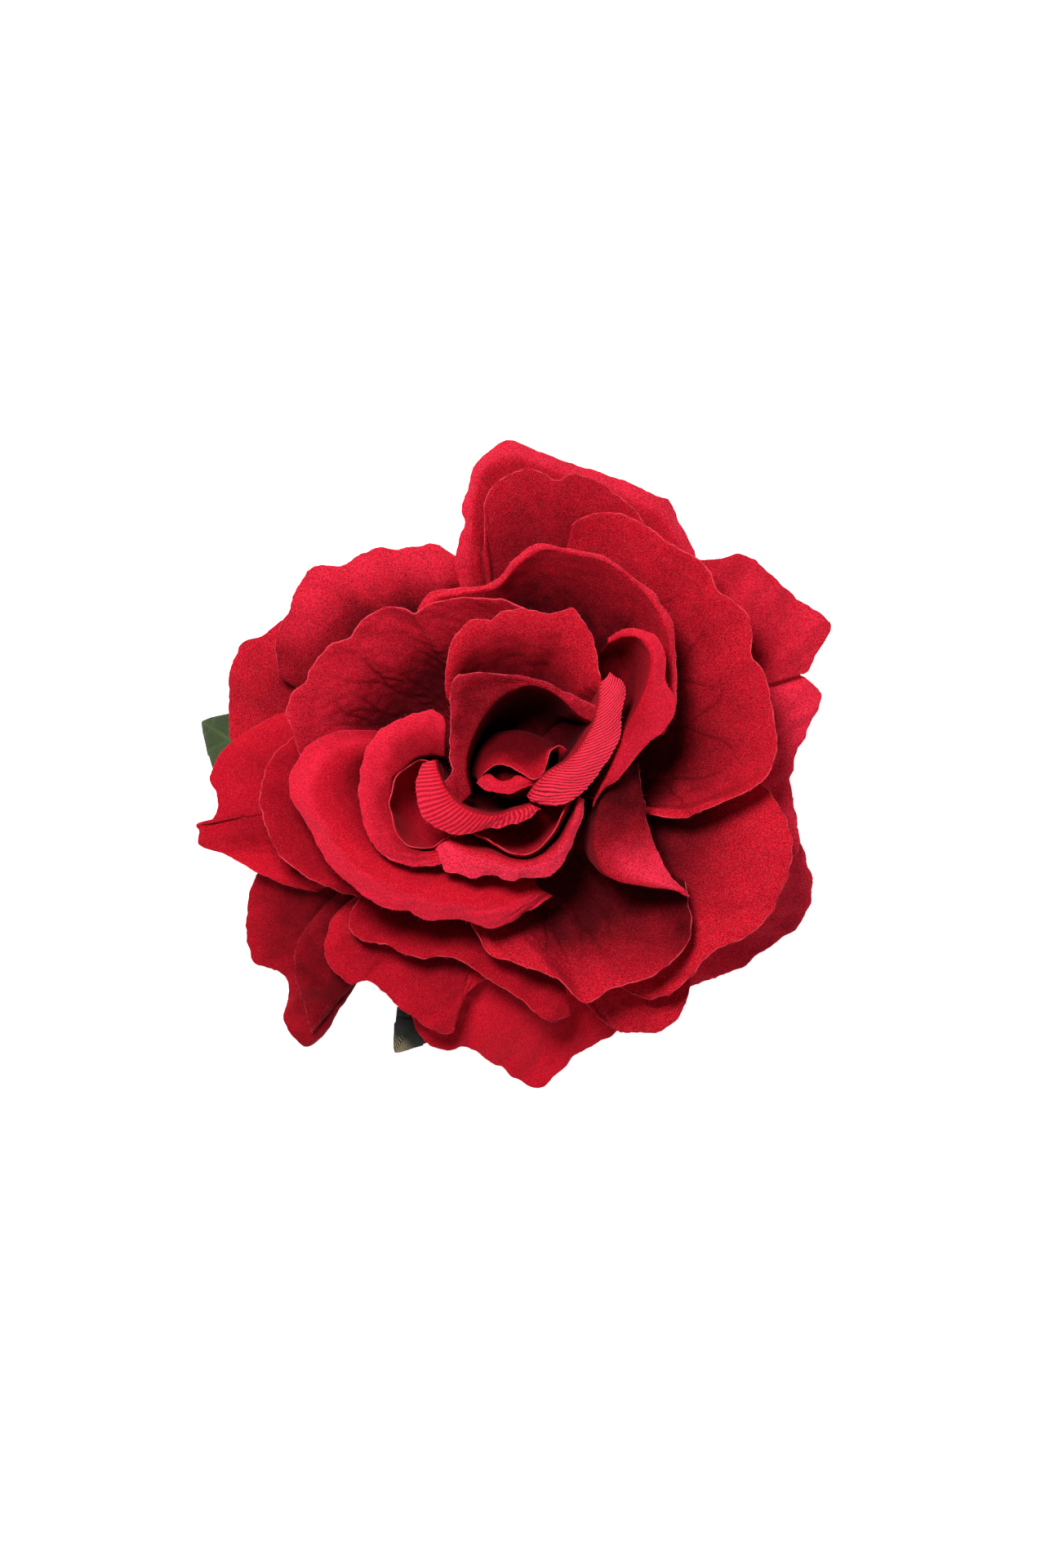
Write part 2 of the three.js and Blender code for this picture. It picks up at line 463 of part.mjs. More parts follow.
// The point of a petal's middle surface at share s of its width and share t from seam to rim.
function petalPoint(petal, s, t) {
  const [first, last, radius, height] = petal.foot;
  const bearing = THREE.MathUtils.degToRad(THREE.MathUtils.lerp(first, last, s));
  const outward = new THREE.Vector3(Math.cos(bearing), Math.sin(bearing), 0);
  const foot = outward.clone().multiplyScalar(radius).setZ(height);
  const rim = along(petal.rim, s);
  const crest = petal.fold ? along(petal.fold, s) : rim;
  const rise = crest.z - foot.z;
  const reach = new THREE.Vector3().subVectors(crest, foot).setZ(0);
  const share = ([flat, bowl]) => THREE.MathUtils.lerp(flat, bowl, petal.lift);
  const start = foot.clone();
  const near = crest.clone();
  if (petal.hood) {
    start.addScaledVector(outward, petal.hood[0]).setZ(height + petal.hood[1] * rise);
    near.addScaledVector(reach, -HOOD_BACK).setZ(crest.z - HOOD_DROP * rise);
  } else {
    start.addScaledVector(reach, share(START_OUT));
    near.addScaledVector(reach, -share(RIM_BACK)).setZ(crest.z - share(RIM_DROP) * rise);
  }
  if (petal.fold) {
    const out = new THREE.Vector3().subVectors(rim, crest).setZ(0);
    if (t <= WALL) {
      if (!petal.hood) {
        const shoulder = petal.shoulder ?? 0;
        near.addScaledVector(out, -THREE.MathUtils.lerp(...WALL_TUCK, shoulder));
        near.z += SHOULDER_RISE * shoulder * rise;
      }
      return bezier(foot, start, near, crest, t / WALL);
    }
    const over = crest.clone().addScaledVector(out, LIP_OUT);
    const above = rim.clone().addScaledVector(out, -LIP_BACK);
    above.z += (crest.z - rim.z) * LIP_HIGH;
    return bezier(crest, over, above, rim, (t - WALL) / (1 - WALL));
  }
  const at = bezier(foot, start, near, rim, t);
  at.z += (petal.arch ?? 0) * 4 * t * (1 - t) * (1 - ARCH_FADE * (2 * s - 1) ** 2);
  at.z -= (petal.roll ?? 0) * THREE.MathUtils.smoothstep(t, ROLL_FROM, 1) ** 1.5;
  return at;
}

// A sheet of the given thickness round a grid of points, closed on all sides.
function sheetSolid(grid, thickness) {
  const rows = grid.length;
  const cols = grid[0].length;
  const across = new THREE.Vector3();
  const upward = new THREE.Vector3();
  const normal = new THREE.Vector3();
  const position = [];
  for (const side of [0.5, -0.5]) {
    for (let i = 0; i < rows; i++) {
      for (let j = 0; j < cols; j++) {
        across.subVectors(grid[i][Math.min(j + 1, cols - 1)], grid[i][Math.max(j - 1, 0)]);
        upward.subVectors(grid[Math.min(i + 1, rows - 1)][j], grid[Math.max(i - 1, 0)][j]);
        normal.crossVectors(across, upward).normalize();
        const p = grid[i][j].clone().addScaledVector(normal, side * thickness);
        position.push(p.x, p.y, p.z);
      }
    }
  }
  const index = [];
  const under = rows * cols;
  const quad = (a, b, c, d) => index.push(a, b, c, a, c, d);
  for (let i = 0; i + 1 < rows; i++) {
    for (let j = 0; j + 1 < cols; j++) {
      const a = i * cols + j;
      quad(a, a + 1, a + 1 + cols, a + cols);
      quad(under + a, under + a + cols, under + a + 1 + cols, under + a + 1);
    }
  }
  for (let j = 0; j + 1 < cols; j++) {
    const top = (rows - 1) * cols + j;
    quad(j, under + j, under + j + 1, j + 1);
    quad(top, top + 1, under + top + 1, under + top);
  }
  for (let i = 0; i + 1 < rows; i++) {
    const left = i * cols;
    const right = i * cols + cols - 1;
    quad(left, left + cols, under + left + cols, under + left);
    quad(right, under + right, under + right + cols, right + cols);
  }
  const geometry = new THREE.BufferGeometry();
  geometry.setAttribute("position", new THREE.Float32BufferAttribute(position, 3));
  geometry.setIndex(index);
  return solidOf(geometry);
}

// A petal's grid of points, from the seam to the rim.
function petalGrid(petal) {
  const length = new THREE.CatmullRomCurve3(
    petal.rim.map((p) => new THREE.Vector3(...p)),
  ).getLength();
  const cols = Math.max(6, Math.round(length / PETAL_STEP)) + 1;
  const rows = petal.fold ? 7 : 5;
  return Array.from({ length: rows }, (_, i) =>
    Array.from({ length: cols }, (_, j) => petalPoint(petal, j / (cols - 1), i / (rows - 1))),
  );
}

// A row of points with one more at each end, a gap further on.
function lengthened(row, step) {
  const beyond = (end, next) => {
    const away = new THREE.Vector3().subVectors(end, next).normalize();
    return end.clone().addScaledVector(away, step);
  };
  const last = row.length - 1;
  return [beyond(row[0], row[1]), ...row, beyond(row[last], row[last - 1])];
}

// A grid that runs a gap past its edges all round.
function widened(grid, step) {
  const wide = grid.map((row) => lengthened(row, step));
  const columns = wide[0].map((_, j) => lengthened(wide.map((row) => row[j]), step));
  return columns[0].map((_, i) => columns.map((column) => column[i]));
}

// A solid of revolution about +Z from [radius, height] pairs that start and end on the axis.
function turned(profile, segments) {
  return new THREE.LatheGeometry(
    profile.map(([r, z]) => new THREE.Vector2(r, z)),
    segments,
  ).rotateX(Math.PI / 2);
}

// A side outline in x and z, drawn across Y from y0 to y1.
function slab(outline, y0, y1) {
  const shape = new THREE.Shape(outline.map(([x, z]) => new THREE.Vector2(x, z)));
  const block = new THREE.ExtrudeGeometry(shape, {
    depth: y1 - y0,
    bevelEnabled: false,
    curveSegments: 10,
  });
  return solidOf(block.rotateX(Math.PI / 2).translate(0, y1, 0));
}

// The outline of a bent strip of sheet metal whose middle runs through the given points.
function strip(middle, thickness) {
  const offset = (side) =>
    middle.map(([x, z], i) => {
      const [ax, az] = middle[Math.max(i - 1, 0)];
      const [bx, bz] = middle[Math.min(i + 1, middle.length - 1)];
      const length = Math.hypot(bx - ax, bz - az);
      const shift = (side * thickness) / 2 / length;
      return [x - (bz - az) * shift, z + (bx - ax) * shift];
    });
  return [...offset(1), ...offset(-1).reverse()];
}

// A round disc in the XZ plane as an outline.
function round([x, z], radius, segments) {
  return Array.from({ length: segments }, (_, i) => {
    const turn = (2 * Math.PI * i) / segments;
    return [x + radius * Math.cos(turn), z + radius * Math.sin(turn)];
  });
}

// A round wire along a path.
function wire(points, radius, steps) {
  const path = new THREE.CatmullRomCurve3(points, false, "centripetal");
  const section = new THREE.Shape(
    round([0, 0], radius, 6).map(([x, y]) => new THREE.Vector2(x, y)),
  );
  return solidOf(new THREE.ExtrudeGeometry(section, { steps, extrudePath: path }));
}

const [PX, PZ] = PIVOT;
const JAW_TIP = -28;
const TOOTH = 1.5;
const TOOTH_HALF = 0.9;
const TOOTH_PITCH = 3;

// A row of small teeth across the jaw near its tip; up is the way they point.
function teeth(firstX, z, up, halfWidth) {
  const rows = [0, 1, 2].map((k) => {
    const x = firstX + TOOTH_PITCH * k;
    const root = z - up * 0.3; // a little inside the plate
    const outline = [[x - TOOTH_HALF, root], [x, z + up * TOOTH], [x + TOOTH_HALF, root]];
    return slab(outline, -halfWidth, halfWidth);
  });
  return rows.reduce((a, b) => a.add(b));
}

// The jaw that is glued to the felt: a flat plate with two ears that hold the pin.
function upperJaw() {
  const top = PLATE_Z + SHEET;
  const plate = slab(
    [[JAW_TIP, top], [JAW_TIP, PLATE_Z - 0.5], [JAW_TIP + 0.8, PLATE_Z - 0.5],
      [JAW_TIP + 1.6, PLATE_Z], [26, PLATE_Z], [26, top]],
    -JAW_W / 2,
    JAW_W / 2,
  );
  const ear = [[PX - 6, top], [PX - 3, PZ - 1], [PX - 1.4, PZ - 2.2], [PX + 1.4, PZ - 2.2],
    [PX + 3, PZ - 1], [PX + 6, top]];
  const ears = slab(ear, -JAW_W / 2, -JAW_W / 2 + SHEET).add(
    slab(ear, JAW_W / 2 - SHEET, JAW_W / 2),
  );
  const hole = slab(round(PIVOT, PIN_R + GAP, 16), -JAW_W, JAW_W);
  return plate.add(ears).add(teeth(JAW_TIP + 3.4, PLATE_Z, -1, JAW_W / 2 - 1)).subtract(hole);
}

// The jaw that opens: bowed, with its teeth between the upper ones and a thumb lever behind.
function lowerJaw() {
  const middle = [[JAW_TIP, 9.3], [-25, 8.4], [-20, 7], [-14, 5.6], [-8, 4.7], [-2, 4.1],
    [4, 3.8], [8, 3.7], [12, 3.4], [16, 2.7], [20, 1.9], [24, 1], [27, 0.7], [29, 1]];
  const plate = slab(strip(middle, SHEET), -LOWER_W / 2, LOWER_W / 2);
  const pad = slab(
    strip([[17, 2.7], [20, 2], [24, 1.1], [27, 0.8], [29.3, 1.1]], SHEET + 0.3),
    -JAW_W / 2,
    JAW_W / 2,
  );
  const ear = [[PX - 6.4, 3.6], [PX - 2.4, PZ], [PX - 1.2, PZ + 1.9], [PX + 1.2, PZ + 1.9],
    [PX + 2.4, PZ], [PX + 6, 2.8]];
  const ears = slab(ear, -LOWER_W / 2, -LOWER_W / 2 + SHEET).add(
    slab(ear, LOWER_W / 2 - SHEET, LOWER_W / 2),
  );
  const hole = slab(round(PIVOT, PIN_R + GAP, 16), -JAW_W, JAW_W);
  const bite = slab(
    [[JAW_TIP + 0.3, 9.2], [JAW_TIP + 0.9, 10.6], [JAW_TIP + 1.9, 8.9]],
    -LOWER_W / 2 + 0.5,
    LOWER_W / 2 - 0.5,
  );
  return plate.add(pad).add(ears).add(bite).subtract(hole);
}

// The pin, with a rivet head at each end.
function pivotPin() {
  const half = JAW_W / 2 + GAP;
  return turned(
    [[0, -half - 0.7], [1.5, -half - 0.5], [1.8, -half], [PIN_R, -half], [PIN_R, half],
      [1.8, half], [1.5, half + 0.5], [0, half + 0.7]],
    16,
  )
    .rotateX(Math.PI / 2)
    .translate(PX, 0, PZ);
}

// The spring round the pin: one leg under the upper plate, one on the lever.
function torsionSpring() {
  const perTurn = 12;
  const pitch = 1.1;
  const half = (COIL_TURNS * pitch) / 2;
  const lever = -0.31;
  const points = [new THREE.Vector3(PX + 9, -half, PZ + COIL_R + 0.1)];
  points.push(new THREE.Vector3(PX + 4, -half, PZ + COIL_R));
  const start = Math.PI / 2;
  const steps = COIL_TURNS * perTurn + perTurn / 2 - 1;
  for (let i = 0; i <= steps; i++) {
    const turn = start + (i / perTurn) * 2 * Math.PI;
    const y = -half + (2 * half * i) / steps;
    points.push(new THREE.Vector3(PX + COIL_R * Math.cos(turn), y, PZ + COIL_R * Math.sin(turn)));
  }
  const last = points[points.length - 1];
  const leg = (d) => new THREE.Vector3(last.x + d, half, last.z + lever * d);
  points.push(leg(3), leg(7.4));
  return wire(points, WIRE_R, 56);
}

// The stuffed core of the bud: an egg that leans towards the bud's mouth.
function budCore() {
  const profile = [[0, BUD_FOOT], [3.2, BUD_FOOT], [4.3, 28.6], [4.6, 31.6], [4, 34.4],
    [2.8, 36.2], [1.4, 37], [0, BUD_TOP]];
  const egg = turned(profile, 18);
  const place = egg.getAttribute("position");
  for (let i = 0; i < place.count; i++) {
    const share = (place.getZ(i) - BUD_FOOT) / (BUD_TOP - BUD_FOOT);
    place.setX(i, place.getX(i) - share);
    place.setY(i, place.getY(i) - share);
  }
  return solidOf(egg);
}

// The green cup under the petals, with five pointed sepals.
function calyx() {
  let cup = solidOf(
    turned(
      [[0, CALYX_Z], [7, CALYX_Z], [9, CALYX_Z + 0.5], [9.4, CALYX_Z + 1.2], [0, CALYX_Z + 1.2]],
      24,
    ),
  );
  for (let k = 0; k < 5; k++) {
    const turn = (2 * Math.PI * (k + 0.25)) / 5;
    const outline = [[6, -3], [11, -3.4], [15, -2.2], [20, 0], [15, 2.2], [11, 3.4], [6, 3]];
    const shape = new THREE.Shape(outline.map(([x, y]) => new THREE.Vector2(x, y)));
    const sepal = new THREE.ExtrudeGeometry(shape, { depth: 0.6, bevelEnabled: false });
    cup = cup.add(solidOf(sepal.rotateZ(turn).translate(0, 0, CALYX_Z + 0.1)));
  }
  return cup;
}

// A leaf: a pointed blade, folded up a little along its midrib.
function leafGrid({ spine, width }) {
  const rows = 9;
  const cols = 5;
  return Array.from({ length: rows }, (_, i) => {
    const t = i / (rows - 1);
    const middle = along(spine, t);
    const ahead = along(spine, Math.min(t + 0.02, 1)).sub(along(spine, Math.max(t - 0.02, 0)));
    const side = new THREE.Vector3(-ahead.y, ahead.x, 0).normalize();
    const swell = Math.sin(Math.PI * THREE.MathUtils.lerp(LEAF_POINT, 0.99, t)) ** LEAF_TAPER;
    const half = (width / 2) * Math.max(LEAF_POINT, swell);
    return Array.from({ length: cols }, (_, j) => {
      const across = (2 * j) / (cols - 1) - 1;
      const p = middle.clone().addScaledVector(side, across * half);
      p.z += Math.abs(across) * half * LEAF_FOLD;
      return p;
    });
  });
}

const group = new THREE.Group();
group.name = "flower_hair_clip";

function addNode(name, shape, look) {
  const geometry = shape.isBufferGeometry ? shape : geometryOf(shape);
  const mesh = new THREE.Mesh(geometry, new THREE.MeshStandardMaterial(look));
  mesh.name = name;
  group.add(mesh);
}

const fabric = { color: RED, roughness: 0.9, metalness: 0, side: THREE.DoubleSide };
const green = { color: GREEN, roughness: 0.8, metalness: 0 };
const felt = { color: new THREE.Color(0.02, 0.02, 0.02), roughness: 0.95, metalness: 0 };
const steel = { color: new THREE.Color(0.72, 0.73, 0.75), roughness: 0.3, metalness: 1 };
const plastic = { color: new THREE.Color(0.1, 0.2, 0.06), roughness: 0.5, metalness: 0 };

const jawTop = upperJaw();
const jawBottom = lowerJaw();
addNode("clip_upper_jaw", jawTop, steel);
addNode("clip_lower_jaw", jawBottom, steel);
addNode("clip_pin", pivotPin(), steel);
addNode("clip_spring", torsionSpring(), steel);
const freeRadius = JAW_W; // outside it, the felt's flat back is clear of the clip
const padProfile = [[0, FELT_Z], [freeRadius, FELT_Z], [FELT_R, FELT_Z],
  [FELT_R, FELT_Z + FELT_T], [0, FELT_Z + FELT_T]];
addNode("felt_pad", turned(padProfile, 40), felt);
const cup = calyx();
addNode("calyx", cup, green);
const hub = solidOf(
  turned([[0, HUB_Z], [HUB_R, HUB_Z], [HUB_R, HUB_TOP - 2], [HUB_R - 1, HUB_TOP], [0, HUB_TOP]], 18),
);
addNode("flower_hub", hub, plastic);

const bud = budCore();
addNode("bud_core", bud, fabric);

// Each fabric piece gives way to every piece already placed, with a gap between them.
const placed = [bud, hub, cup].map((body) => ({ body, keepOut: body }));
const touches = (one, other) => one.intersect(other).volume() > 1e-3;
function addFitted(name, shape, keepOut, look) {
  const cut = placed.reduce((rest, other) => rest.subtract(other.keepOut), shape);
  const clear = placed.reduce(
    (rest, other) => (touches(rest, other.body) ? rest.subtract(other.body) : rest),
    mainBody(cut),
  );
  const body = mainBody(clear);
  placed.push({ body, keepOut });
  addNode(name, body, look);
}
function addSheet(name, grid, look) {
  addFitted(
    name,
    sheetSolid(grid, PETAL),
    sheetSolid(widened(grid, GAP), PETAL + 2 * GAP),
    look,
  );
}
for (const petal of [...BUD_WRAPS, ...PETALS]) {
  addSheet(petal.name, petalGrid(petal), fabric);
}
for (const one of LEAVES) {
  addSheet(one.name, leafGrid(one), green);
}

export default group;
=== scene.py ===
# Looks of the flower hair clip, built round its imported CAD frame. Shapes are worked out in
# millimetres and written to the meshes in metres: +Z is the way the flower faces.
import math

import bpy
import numpy as np
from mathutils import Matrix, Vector
from mathutils.bvhtree import BVHTree


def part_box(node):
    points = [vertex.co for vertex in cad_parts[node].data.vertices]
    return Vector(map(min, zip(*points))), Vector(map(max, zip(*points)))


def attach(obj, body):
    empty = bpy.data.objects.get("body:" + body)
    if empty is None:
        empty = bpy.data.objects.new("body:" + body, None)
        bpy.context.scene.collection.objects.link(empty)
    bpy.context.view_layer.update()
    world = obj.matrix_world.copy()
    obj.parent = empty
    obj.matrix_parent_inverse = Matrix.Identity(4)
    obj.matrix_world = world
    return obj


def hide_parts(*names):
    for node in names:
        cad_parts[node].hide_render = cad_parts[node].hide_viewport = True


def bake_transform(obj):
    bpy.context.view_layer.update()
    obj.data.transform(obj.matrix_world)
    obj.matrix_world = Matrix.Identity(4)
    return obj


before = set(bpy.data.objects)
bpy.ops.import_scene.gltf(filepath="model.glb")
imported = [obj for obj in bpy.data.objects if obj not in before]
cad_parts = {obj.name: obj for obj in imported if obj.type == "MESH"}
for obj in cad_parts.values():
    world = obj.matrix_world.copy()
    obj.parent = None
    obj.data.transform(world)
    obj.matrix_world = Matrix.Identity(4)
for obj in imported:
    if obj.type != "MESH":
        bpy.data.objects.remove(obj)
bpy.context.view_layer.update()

MM = 0.001
PETAL = 0.36  # thickness of the petal cloth
RIM = 0.2  # thickness of its cut edge
LEAF = 0.45  # the same two for a leaf
LEAF_RIM = 0.3
LEAF_LOW = 0.5  # least height of a leaf's middle over the table
THIN_EDGE = 1.2  # width of the strip over which cloth thins towards its cut edge
GAP = 0.22  # distance that rest_under aims to keep between a petal and the one above it
PITCH = 0.5  # spacing of the points of a petal's mesh
RIB_PITCH = 0.19  # the same on a petal whose lip shows the ribs of the weave
TABLE_GAP = 0.27  # least height of the cloth over the table
WALL = 0.68  # share of a folded petal's length that lies before its crest
FLUTTER = 0.4  # height of a petal's waves, and of the stiffer waves of a folded one
FOLDED_FLUTTER = 0.12
CRINKLE = 0.035  # height of the small unevenness of the cloth
RIB_DEPTH = 0.06
CREASE_DEPTH = 0.2
CREASE_HALF = 0.34  # half the width of a pressed crease
FIRST_SEED = 100
SEED_STEP = 17  # more than the number of random fields in one petal
UV_SPAN = 100  # millimetres of cloth across the unit square of its UV map
BUD_WRAPS = 2  # the first two petals wrap the bud, and no other petal rests under them
THREAD_R = 0.016
THREAD_LENGTH = (0.18, 0.55)
THREAD_SCATTER = 0.55  # how far they turn from straight out, in radians or so
THREAD_CURL = 0.35
THREADS_PER_MM = 1.6
TURNED_PITCH = 0.4  # spacing of the rings of a turned body
FELT_RADIUS = 19
SEPAL_REACH = 20
PIVOT = (10, 8.2)  # x and z of the clip's pin
WIRE_R = 0.4
COIL_R = 2.3
COIL_LENGTH = 3.3
LEG_SLOPE = 0.31  # fall of the spring's leg along the thumb lever

# Leaves: the centre line from stalk to tip, the greatest width, and the wear and shade value: a
# leaf with it at 1 is painted nearly black as shade, and has bare worn threads at its tip.
LEAVES = [
    dict(
        name="leaf_left", width=22, wear_and_shade=0,
        spine=[[-11, 1, 16], [-26, -1.4, 14.9], [-41, 0.6, 9.4], [-54.4, 8, 1.2]],
    ),
    dict(
        name="leaf_bottom", width=15, wear_and_shade=1,
        spine=[[-4.4, -10.2, 16], [-7, -22.4, 14.4], [-11, -35.6, 8.6], [-20.8, -49.5, 1.2]],
    ),
]

PETALS = []


def petal(name, **shape):
    """Adds a petal to the list, which runs from the centre outwards."""
    PETALS.append(dict(name=name, **shape))


# Petals from the centre outwards, as the CAD part has them. foot: first and last bearing in
# degrees, radius and height of the seam on the hub. rim: the cut edge. fold: the crest that the
# petal rolls over, where it has one. lift: how far it stands up at the seam, 1 if not given. arch:
# how far its middle bows up. hood: how far it leans out at the seam, in millimetres, and the share
# of its height that it climbs there. shoulder: how squarely it turns over its crest. roll: how far
# its edge curls down. veins: the number of pressed creases. rib: the pitch of stretched weave
# across its lip, with the slant of the ribs.
# The rest is its colour, nearly all of it painted light and shade. dye: the shares of its
# length between which it goes from painted deep shade at the seam to full red. dusk: the
# same across its width, a painted shadow, with the larger share first where the last side is the
# shaded one. lit: how strongly a painted highlight covers it all over. lip: how strongly
# its lip is painted with that highlight, 1 if not given.
petal(
    "bud_wrap_front", foot=[196, 344, 4.9, 26.6], hood=[1.2, 0.55], dye=[0.55, 1],
    fold=[[-5.6, -1.5, 40.6], [-4.3, -1.2, 41.6], [-3.3, -2, 41.9], [-2, -2.4, 42], [-0.6, -2.1, 42.2],
          [0.4, -1.4, 42.4], [2.1, -2, 42.3], [4.6, -1.9, 41]],
    rim=[[-6.4, -2.6, 39.6], [-4.5, -3.9, 40.6], [-2.1, -4.3, 41], [-0.3, -4.1, 41.2], [1.5, -3.4, 41.4],
         [3.1, -2.9, 41.3], [5.4, -2.5, 40.2]],
)
petal(
    "bud_wrap_back", foot=[188, -6, 5, 26.6], hood=[4.4, 0.5], dye=[0.72, 1.15], dusk=[-0.35, 0.45],
    rim=[[-6.4, -2.3, 39.6], [-4.9, -0.8, 41.6], [-3.6, 0.1, 42.4], [-2, 0.3, 42.8], [-0.6, 0, 43],
         [0.4, -0.9, 43.1], [1.4, -1.7, 43.1], [2.8, -2.2, 42.9], [4.2, -2, 42.5], [5.3, -0.6, 42.1],
         [5.8, 1, 41.9], [6.4, 2.9, 41.7], [7.7, 3.7, 40.9], [8.9, 2.8, 39.6]],
)
petal(
    "petal_cup_right", foot=[50, -62, 5.4, 24.6], rib=0.68, slant=0.75, dye=[0.34, 0.68], lip=0.75,
    fold=[[15, 14.5, 48.5], [14.3, 10, 49.8], [13.3, 7, 50], [11.5, 4, 50], [9, 1, 49.5], [6, -1, 48.8],
          [4, -3, 47.5], [2.5, -5, 46]],
    rim=[[16, 15.8, 47], [18, 14.5, 47], [18.8, 12.5, 47], [18.3, 9, 47], [18, 5, 47], [17, 3, 47],
         [15, 0, 46.5], [12, -3.5, 46], [9, -6, 46], [6, -6.3, 45.5], [3, -5.7, 45]],
)
petal(
    "petal_cup_left", foot=[172, 292, 5.4, 24], rib=0.9, slant=0.35, dye=[0.35, 0.66],
    fold=[[-13.5, 1.2, 47.5], [-13, -1, 48.4], [-12, -3.5, 48.8], [-9.5, -6.5, 48.8], [-6.5, -8, 48.4],
          [-3, -8.3, 47.8], [0, -7.3, 46.8], [3, -6.3, 45]],
    rim=[[-15.5, 0.5, 46.2], [-16.5, -3, 47], [-16, -7, 47.4], [-14, -9.5, 47.6], [-11, -11, 47.5],
         [-8, -11.2, 47.5], [-5, -10.5, 47.3], [-2, -10, 46.8], [2, -8.8, 45.9], [4.5, -7, 44.6]],
)
petal(
    "petal_cup_back", foot=[200, 20, 5.2, 24.2], dye=[0.38, 1.62],
    fold=[[-7.5, -4.5, 43.4], [-8.2, 0, 45], [-7, 5, 46.2], [-4, 10.5, 46.8], [0, 13.3, 47],
          [3, 14, 47.2], [7, 12.5, 47.2], [11, 8.5, 46.8], [12.4, 5, 45]],
    rim=[[-8.8, -5.5, 43.6], [-10.5, 0, 46], [-10.8, 8, 48.4], [-10.2, 15, 49.6], [-8, 15.8, 49.6],
         [-4, 16, 49.2], [0, 15.5, 48.6], [4, 14.8, 48], [8, 13.2, 47.2], [12, 10.5, 46.4],
         [13.5, 8, 45.4], [13.8, 5, 44]],
)
petal(
    "petal_cup_lining", foot=[-30, -122, 6.1, 23.4], lift=0.9, dye=[-0.9, 0.5],
    rim=[[9.9, -5.2, 42.5], [8.6, -8, 43.2], [6, -12, 43.5], [3, -14.5, 43.6], [0, -14.7, 43.6],
         [-3, -13.2, 43.4], [-5, -11.8, 43], [-7, -10.5, 42]],
)
petal(
    "petal_cup_front", foot=[-25, -132, 6.8, 22.8], dye=[0.3, 0.62],
    fold=[[11, -5, 42.6], [9.9, -8.8, 43.8], [7.4, -13.2, 44.4], [3, -16, 44.5], [0, -16.1, 44.5],
          [-4, -14.8, 44.4], [-8, -13.7, 43.8], [-11, -12.2, 42.4]],
    rim=[[12.2, -5.5, 41.5], [11.5, -9, 42], [10, -12.5, 42.4], [8.5, -16, 42.4], [6.5, -18, 42.4],
         [4.5, -18.7, 42.4], [1.5, -18.6, 42.4], [0, -19.2, 42.4], [-2, -18.9, 42.4], [-3, -18.2, 42.5],
         [-5, -18.5, 42.4], [-7, -18.9, 42.3], [-9.5, -18, 42], [-11.5, -17.8, 41.5],
         [-12.4, -16.3, 41.2], [-13.5, -13.5, 41]],
)
petal(
    "petal_cup_top", foot=[152, 42, 6.2, 23.4], lift=0.3, hood=[8, 0.1], dye=[0.05, 1],
    rim=[[-11.5, 12, 44], [-11.6, 17, 46], [-10.8, 21, 46.6], [-9, 23.5, 46.8], [-7, 25, 46.8],
         [-4, 25.2, 46.6], [-2, 26.3, 46.8], [1, 26.8, 46.8], [3, 26.5, 46.6], [5.5, 25.8, 46.4],
         [8, 26.4, 46.6], [10, 26.7, 46.6], [11.5, 25, 46.2], [13, 22.5, 45.6], [13.8, 20, 45],
         [14.2, 17, 44], [14.8, 14, 42.5]],
)
petal(
    "petal_cup_nested", foot=[160, 246, 6.2, 23], lift=0.9, dye=[-0.4, 0.85],
    rim=[[-12, 0.4, 41.4], [-15.4, -0.2, 43], [-18.6, -1.8, 44.8], [-20.8, -4.4, 45.5],
         [-21.3, -7.2, 45.5], [-20.1, -10.5, 45.2], [-17.6, -13.2, 44.4], [-13.5, -14.2, 42.4],
         [-10, -13.2, 40.6]],
)
petal(
    "petal_cup_side", foot=[152, 250, 6.9, 22.4], dye=[0.7, 1.08], lip=0.85,
    fold=[[-11.8, 1.8, 42.8], [-14, 2.2, 44], [-16.6, 1.6, 44.8], [-19, -0.6, 44.9], [-20.5, -4, 44.8],
          [-20.6, -8.8, 44.6], [-18.8, -12.6, 44], [-16, -14.2, 43], [-12.5, -14, 41.2]],
    rim=[[-11.5, 7.2, 41.8], [-12, 8.6, 42], [-14, 9.8, 42.4], [-17, 9, 42.6], [-20, 8, 42.8],
         [-23, 6, 42.8], [-25, 3, 42.8], [-26, -1, 42.8], [-26.2, -5, 42.8], [-25.5, -9, 42.8],
         [-24.5, -12, 42.6], [-22, -15, 42.4], [-18, -16.6, 41.8], [-14, -16.6, 41], [-11, -15.6, 40]],
)
petal(
    "petal_wing_right", foot=[-32, 62, 6.9, 22.6], lift=0.9, dye=[0.4, 1.15], lip=0.55,
    fold=[[13.6, -5.4, 41], [16, -1, 43.6], [18.8, 6, 45.4], [21, 10, 46], [22.8, 15, 46.2],
          [23, 19.4, 46], [21.2, 21.9, 45.4], [18.7, 22.4, 44.4], [16, 21.3, 42.6]],
    rim=[[13.4, -6.6, 40], [15, -4, 41.6], [17.5, -2, 42.8], [20, 1, 43.6], [22.5, 4, 44], [25, 6, 44.2],
         [27, 8.5, 44.2], [27, 12, 44.2], [25.7, 15, 44.4], [25.5, 19, 44.6], [24, 22, 44.6],
         [22, 23, 44.4], [19, 23.2, 43.6], [16, 22, 41.6]],
)
